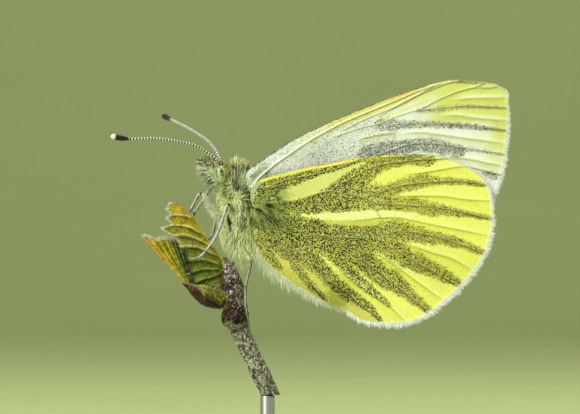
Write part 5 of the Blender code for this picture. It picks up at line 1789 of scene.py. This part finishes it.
def make_leaf(name, node, matched, depths, ribs, bow, seed, look, fan=False):
    """A young pleated leaf.  matched holds pairs of (x, z) points, one on the inner line and one on
    the margin, that the same rib joins; lines between the two curves bow upward by a sine.  From
    each rib the blade falls evenly to a valley right under the next rib, where it climbs."""
    rows, columns = 240, 90
    inner_x, inner_z, outer_x, outer_z = (
        resampled(values, rows)[:, None] for values in np.array(matched).reshape(-1, 4).T)
    share, across = np.linspace(0, 1, rows)[:, None], np.linspace(0, 1, columns)[None]
    gap_x, gap_z = outer_x - inner_x, outer_z - inner_z
    swell = bow * np.sin(math.pi * across) * softly(share, 0.05, 0.3)
    x = inner_x + across * gap_x - swell * gap_z
    z = inner_z + across * gap_z + swell * np.abs(gap_x)
    flat = upright(np.column_stack([x.ravel(), z.ravel()]))
    at = share + 0.01 * noise(flat, 0.6, seed + 7).reshape(rows, columns)
    edges = np.concatenate([[-0.06], ribs, [1.06]])
    pick = np.clip(np.searchsorted(edges, at, side="right") - 1, 0, len(edges) - 2)
    gap = np.diff(edges)[pick]
    t = np.clip((at - edges[pick]) / gap, 0, 1)
    if fan:
        crest_width, pleat, height = 0.02, 0.16, 0.5 + 0.5 * np.cos(2 * math.pi * t)
    else:
        crest_width, pleat, height = 0.013, 0.3, np.maximum((1 - t) ** 1.2, softly(t, 0.84, 1.0))
    crest = np.exp(-((np.minimum(t, 1 - t) * gap / crest_width) ** 2))
    depth = depths[0] + (depths[1] - depths[0]) * share + depths[2] * np.sin(math.pi * across)
    middle = np.stack([x, depth - pleat * (height - 0.5) * softly(across, 0.0, 0.35), z], axis=-1)
    lumps = 0.05 * noise(flat, 0.3, seed) + 0.03 * noise(flat, 0.12, seed + 1)
    middle[..., 1] += lumps.reshape(rows, columns)
    edge = np.minimum(np.minimum(share, 1 - share) * 14, (1 - across) * 14)
    points, quads = plate(middle, 0.14 * np.clip(0.3 + edge, 0.3, 1))
    t, crest, side, up = (np.broadcast_to(v, (rows, columns)).ravel()
                          for v in (t, crest, across, share))
    make_piece(name, look_of("leaf_blade", leaf_finish), "leaf_green", [node], points, quads,
               pigment=np.tile(leaf_paint(flat, t, crest, side, up, seed, look, fan), (2, 1)))
    rim = softly(side, 0.9, 1.0) * (softly(up, 0.0, 0.1) if fan else softly(up, 0.48, 0.52))
    chance = (0.03 + 0.5 * softly(crest, 0.6, 1.0) + 3.0 * rim) * (side < 0.995)
    make_down(name, middle, chance, np.random.default_rng(seed))


# ---------------------------------------------------------------- stand and stage

def turned(profile, segments, middle_x):
    """A profile of (radius, height) points turned about an upright line."""
    turn = np.linspace(0, 2 * math.pi, segments, endpoint=False)[None]
    radius, height = (profile[:, k, None] for k in (0, 1))
    grid = np.stack(np.broadcast_arrays(radius * np.cos(turn) + middle_x, radius * np.sin(turn),
                                        height), axis=-1)
    poles = [[middle_x, 0, profile[0, 1]], [middle_x, 0, profile[-1, 1]]]
    points = np.vstack([grid.reshape(-1, 3), poles])
    rows = len(profile)
    return points, *outward(points, lattice(rows, segments), caps(rows, segments))


def rounded(corners, radius, steps=6):
    """A profile's corners rounded: the line leaves each one's two sides at this distance from it
    and bends by a quadratic curve."""
    corners = [np.array(corner, float) for corner in corners]
    made = [corners[0]]
    for before, corner, after in zip(corners, corners[1:], corners[2:]):
        inward, out = unit(before - corner), unit(after - corner)
        for t in np.linspace(0, 1, steps):
            made.append(corner + radius * ((1 - t) ** 2 * inward + t**2 * out))
    made.append(corners[-1])
    return np.array(made)


def base_finish(name):
    """Satin black lacquer with a faint grain."""
    look = Finish(name, 0.35, Coat_Weight=0.3, Coat_Roughness=0.2)
    place = look.place()
    grain, fine = look.noise(place, 1.4, 4.0), look.noise(place, 14.0, 2.0)
    colour = look.blend(look.between(grain, 0.3, 0.7), tint(26, 26, 27), tint(40, 40, 41))
    return look.done(colour, look.between(fine, 0.3, 0.7, 0.3, 0.42), look.bump(fine, 0.01, 0.4))


def steel_finish(name):
    """Steel drawn lengthwise."""
    look = Finish(name, 0.28, Metallic=1.0)
    line = look.noise(look.place((1.0, 1.0, 0.03)), 22.0, 3.0)
    colour = look.blend(look.between(line, 0.3, 0.7), tint(168, 168, 166), tint(206, 206, 204))
    return look.done(colour, look.between(line, 0.3, 0.7, 0.2, 0.38), look.bump(line, 0.01, 0.4))


def make_stand(look):
    """Round base with a rounded rim and a collar, and an upright rod with a rounded seat."""
    r, h = look.base_radius, BASE_HEIGHT
    profile = rounded([(0.5, 0.0), (r - 0.35, 0.0), (r, 0.35), (r, h - 0.5), (r - 0.5, h),
                       (r - 1.5, h), (r - 1.65, h - 0.12), (r - 1.8, h), (0.5, h)], 0.12)
    make_piece("stand_base_turned", look_of("stand_lacquer", base_finish), "stand_black",
               ["stand_base"], *turned(profile, 160, 0.0))
    foot, top = h + 0.02, TWIG_CUT[1] - 0.03
    profile = rounded([(0.2, foot), (0.95, foot), (0.95, foot + 0.5), (0.6, foot + 0.75),
                       (0.6, top - 0.08), (0.52, top), (0.2, top)], 0.06)
    make_piece("stand_rod_turned", look_of("stand_steel", steel_finish), "stand_metal",
               ["stand_rod"], *turned(profile, 64, ROD_X))


def backdrop_finish(name, colour):
    """Matt paper."""
    look = Finish(name, 0.9)
    fibre = look.between(look.noise(look.place(), 0.02, 3.0), 0.3, 0.7)
    return look.done(look.blend(fibre, 0.97 * np.array(colour), colour))


def add_area(name, place, size, power, colour):
    """A square soft light aimed at the butterfly's middle; lengths in metres."""
    data = bpy.data.lights.new(name, "AREA")
    data.size, data.energy, data.color = size, power, colour
    lamp = linked(name, data)
    lamp.location = place
    way = Vector((0, 0, 0.025)) - Vector(place)
    lamp.rotation_mode = "QUATERNION"
    lamp.rotation_quaternion = way.to_track_quat("-Z", "Y")


def make_stage(look):
    """Paper floor that curves up into the backdrop, soft lights and the camera."""
    start, bend, reach = 0.7, 0.4, 1.6
    turn = 0.5 * math.pi * np.linspace(0, 1, 40)
    curve = np.column_stack([start + bend * np.sin(turn), bend - bend * np.cos(turn)])
    floor = np.vstack([[-reach, 0.0], curve, [start + bend, reach]])
    x = np.linspace(-reach, reach, 33)
    grid = np.stack(np.broadcast_arrays(x[None], floor[:, None, 0], floor[:, None, 1]), axis=-1)
    shape = Shape()
    shape.add(1000 * grid, lattice(len(floor), len(x), around=False))
    paper = look_of("stage_paper", backdrop_finish, look.paper)
    sweep = shape.build("stage_sweep", [paper])
    sweep.parent = None
    del sweep["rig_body"]
    power = look.key_power
    add_area("key_light", (-0.28, -0.34, 0.42), 0.28, power, (1.0, 0.99, 0.96))
    add_area("fill_light", (-0.36, -0.36, 0.05), 0.4, 0.42 * power, (0.97, 1.0, 0.97))
    add_area("back_light", (0.1, 0.22, 0.4), 0.22, 0.35 * power, (1.0, 1.0, 0.96))
    world = bpy.data.worlds.new("soft_room")
    world.use_nodes = True
    sky = world.node_tree.nodes["Background"]
    sky.inputs["Color"].default_value = (0.97, 1.0, 0.93, 1.0)
    sky.inputs["Strength"].default_value = look.room_light
    bpy.context.scene.world = world
    data = bpy.data.cameras.new("camera")
    data.sensor_width = SENSOR_WIDTH
    data.lens = SENSOR_WIDTH * CAMERA_AWAY / VIEW_WIDTH
    data.clip_start, data.clip_end = 0.02, 10.0
    camera = linked("camera", data)
    camera.location = (CAMERA_X * MM, -CAMERA_AWAY * MM, CAMERA_Z * MM)
    camera.rotation_euler = (math.pi / 2, 0.0, 0.0)
    bpy.context.scene.camera = camera
    bpy.context.scene.view_settings.view_transform = "Standard"


# ---------------------------------------------------------------- settings, operators and panel

def colour_setting(name, description, colour):
    """A colour a user may change."""
    return bpy.props.FloatVectorProperty(name=name, description=description, default=tuple(colour),
                                         size=3, subtype="COLOR", min=0.0, max=1.0)


def size_setting(name, description, size, low, high):
    """A size in millimetres a user may change."""
    return bpy.props.FloatProperty(name=name, description=description, default=size, min=low,
                                   max=high, unit="NONE")


class ButterflyLook(bpy.types.PropertyGroup):
    """Colours and sizes of the butterfly."""

    lemon: colour_setting("Hindwing", "Ground colour of its underside", tint(241, 241, 104))
    ochre: colour_setting("Inner field", "Hindwing along its inner edge", tint(206, 202, 84))
    costal: colour_setting("Front edge", "Strip at the hindwing's shoulder", tint(252, 242, 64))
    white: colour_setting("Forewing", "Ground colour of its underside", tint(230, 235, 222))
    apex: colour_setting("Wing tip", "Tip of the forewing's underside", tint(214, 220, 104))
    dusk: colour_setting("Dusting", "Dark scales of the hindwing", tint(12, 13, 6))
    grey_dusk: colour_setting("Grey dusting", "Dark scales of the forewing", tint(44, 48, 44))
    fringe: colour_setting("Fringe", "Scales round the wings' edges", tint(246, 250, 250))
    fur: colour_setting("Fur", "Ground colour of the coat", tint(206, 212, 146))
    antenna: colour_setting("Feelers", "Dark rings and clubs", tint(14, 14, 10))
    speck: size_setting("Scale size", "Width of one dark scale, mm", 0.095, 0.05, 0.3)
    fringe_length: size_setting("Fringe", "Length of the fringe scales, mm", 0.46, 0.1, 1.0)
    hair_length: size_setting("Hair", "Longest hair of the trunk, mm", 1.05, 0.2, 2.0)
    coat_depth: size_setting("Coat depth", "Depth of the skin under the coat, mm", 0.22, 0.1, 0.6)


class PerchLook(bpy.types.PropertyGroup):
    """Colours of the perch."""

    leaf: colour_setting("Leaf", "Ground colour of the young leaves", tint(112, 122, 12))


class StageLook(bpy.types.PropertyGroup):
    """Sizes of the stand, the paper's colour and the lights."""

    base_radius: size_setting("Base radius", "Radius of the stand's base, mm", 12.5, 5.0, 40.0)
    paper: colour_setting("Paper", "Floor and backdrop", tint(184, 197, 132))
    key_power: bpy.props.FloatProperty(name="Key light", description="Power of the key light",
                                       default=2.5, min=0.0, unit="POWER")
    room_light: bpy.props.FloatProperty(name="Room light", description="Strength of the even light",
                                        default=0.5, min=0.0)


class MakeWings(bpy.types.Operator):
    """Build the four closed wings with their veins, folds and markings."""

    bl_idname = "butterfly.make_wings"
    bl_label = "Make wings"

    def execute(self, context):
        look = context.scene.butterfly_look
        for kind, wing in WINGS.items():
            outer, inner = wing_grid(kind, OUTER_ROWS), wing_grid(kind, INNER_ROWS)
            outer = (outer, wing_lie(kind, outer), wing.paint(outer, look))
            inner = (inner, wing.reach(inner) - 0.04, upper_paint(inner, kind))
            for word, side in SIDES:
                make_wing(kind, word, side, look, outer, inner)
        return {"FINISHED"}


class MakeWingCoats(bpy.types.Operator):
    """Add the fringe, the edge hairs and the loose scales of the wings."""

    bl_idname = "butterfly.make_wing_coats"
    bl_label = "Make wing coats"

    def execute(self, context):
        for kind in WINGS:
            for word, side in SIDES:
                make_wing_coat(kind, word, side, context.scene.butterfly_look)
        return {"FINISHED"}


class MakeBody(bpy.types.Operator):
    """Build the skin of body and legs, and the eyes."""

    bl_idname = "butterfly.make_body"
    bl_label = "Make body"

    def execute(self, context):
        make_skin(context.scene.butterfly_look)
        make_eyes()
        return {"FINISHED"}


class MakeFur(bpy.types.Operator):
    """Add the fur of the body and the scales of the legs."""

    bl_idname = "butterfly.make_fur"
    bl_label = "Make fur"

    def execute(self, context):
        make_coat(context.scene.butterfly_look)
        make_leg_coat()
        return {"FINISHED"}


class MakeFeelers(bpy.types.Operator):
    """Build the two ringed feelers."""

    bl_idname = "butterfly.make_feelers"
    bl_label = "Make feelers"

    def execute(self, context):
        make_antennae(context.scene.butterfly_look)
        return {"FINISHED"}


class MakePerch(bpy.types.Operator):
    """Build the twig, the bud and its scales, and the two unfolding leaves."""

    bl_idname = "butterfly.make_perch"
    bl_label = "Make perch"

    def execute(self, context):
        look = context.scene.perch_look
        make_twig()
        bud_sweep("perch_node_rings", "perch_node", NODE_AXIS,
                  [0.9, 1.06, 1.2, 1.18, 1.05], 91, 0.0)
        bud_sweep("perch_core_rings", "perch_bud_core", BUD_AXIS,
                  [0.8, 0.85, 0.85, 0.8, 0.7, 0.55], 95, 0.8)
        make_scale("perch_scale_right_shell", "perch_scale_right", SCALE_RIGHT_AXIS,
                   [0.85, 1.1, 0.9, 0.25], 1, [110, 120, 105, 70], 101)
        make_scale("perch_scale_left_shell", "perch_scale_left", SCALE_LEFT_AXIS,
                   [1.4, 1.62, 1.5, 1.05, 0.25], -1, [92, 90, 88, 78, 50], 107)
        make_leaf("perch_leaf_right_blade", "perch_leaf_right", LEAF_RIGHT, (-0.1, -0.75, -0.2),
                  [0.05, 0.14, 0.24, 0.35, 0.46, 0.56, 0.68, 0.83], 0.12, 113, look)
        make_leaf("perch_leaf_left_blade", "perch_leaf_left", LEAF_LEFT, (-0.1, -0.4, -0.2),
                  [0.02, 0.16, 0.3, 0.43, 0.57, 0.7, 0.84, 0.97], 0.03, 127, look, fan=True)
        return {"FINISHED"}


class MakeStand(bpy.types.Operator):
    """Build the base and the rod."""

    bl_idname = "butterfly.make_stand"
    bl_label = "Make stand"

    def execute(self, context):
        make_stand(context.scene.stage_look)
        return {"FINISHED"}


class MakeStage(bpy.types.Operator):
    """Set the paper sweep, the lights and the camera."""

    bl_idname = "butterfly.make_stage"
    bl_label = "Make stage"

    def execute(self, context):
        make_stage(context.scene.stage_look)
        return {"FINISHED"}


class ButterflyPanel(bpy.types.Panel):
    """Settings and steps of the model."""

    bl_idname = "VIEW3D_PT_butterfly"
    bl_label = "Green-veined white"
    bl_space_type = "VIEW_3D"
    bl_region_type = "UI"
    bl_category = "Butterfly"

    def draw(self, context):
        layout = self.layout
        for group in (context.scene.butterfly_look, context.scene.perch_look,
                      context.scene.stage_look):
            for name in group.__annotations__:
                layout.prop(group, name)
        for step in STEPS:
            layout.operator(step.bl_idname)


STEPS = (MakeStage, MakeWings, MakeWingCoats, MakeBody, MakeFur, MakeFeelers, MakePerch, MakeStand)
GROUPS = {"butterfly_look": ButterflyLook, "perch_look": PerchLook, "stage_look": StageLook}


def register():
    """Make the settings, operators and panel known to Blender."""
    for name, group in GROUPS.items():
        bpy.utils.register_class(group)
        setattr(bpy.types.Scene, name, bpy.props.PointerProperty(type=group))
    for item in (*STEPS, ButterflyPanel):
        bpy.utils.register_class(item)


def unregister():
    """Take them away again."""
    for item in (ButterflyPanel, *reversed(STEPS)):
        bpy.utils.unregister_class(item)
    for name, group in GROUPS.items():
        delattr(bpy.types.Scene, name)
        bpy.utils.unregister_class(group)


def main():
    """Register the settings, operators and panel, and build every piece."""
    register()
    bpy.ops.butterfly.make_stage()
    bpy.ops.butterfly.make_wings()
    bpy.ops.butterfly.make_wing_coats()
    bpy.ops.butterfly.make_body()
    bpy.ops.butterfly.make_fur()
    bpy.ops.butterfly.make_feelers()
    bpy.ops.butterfly.make_perch()
    bpy.ops.butterfly.make_stand()


if __name__ == "__main__":
    main()
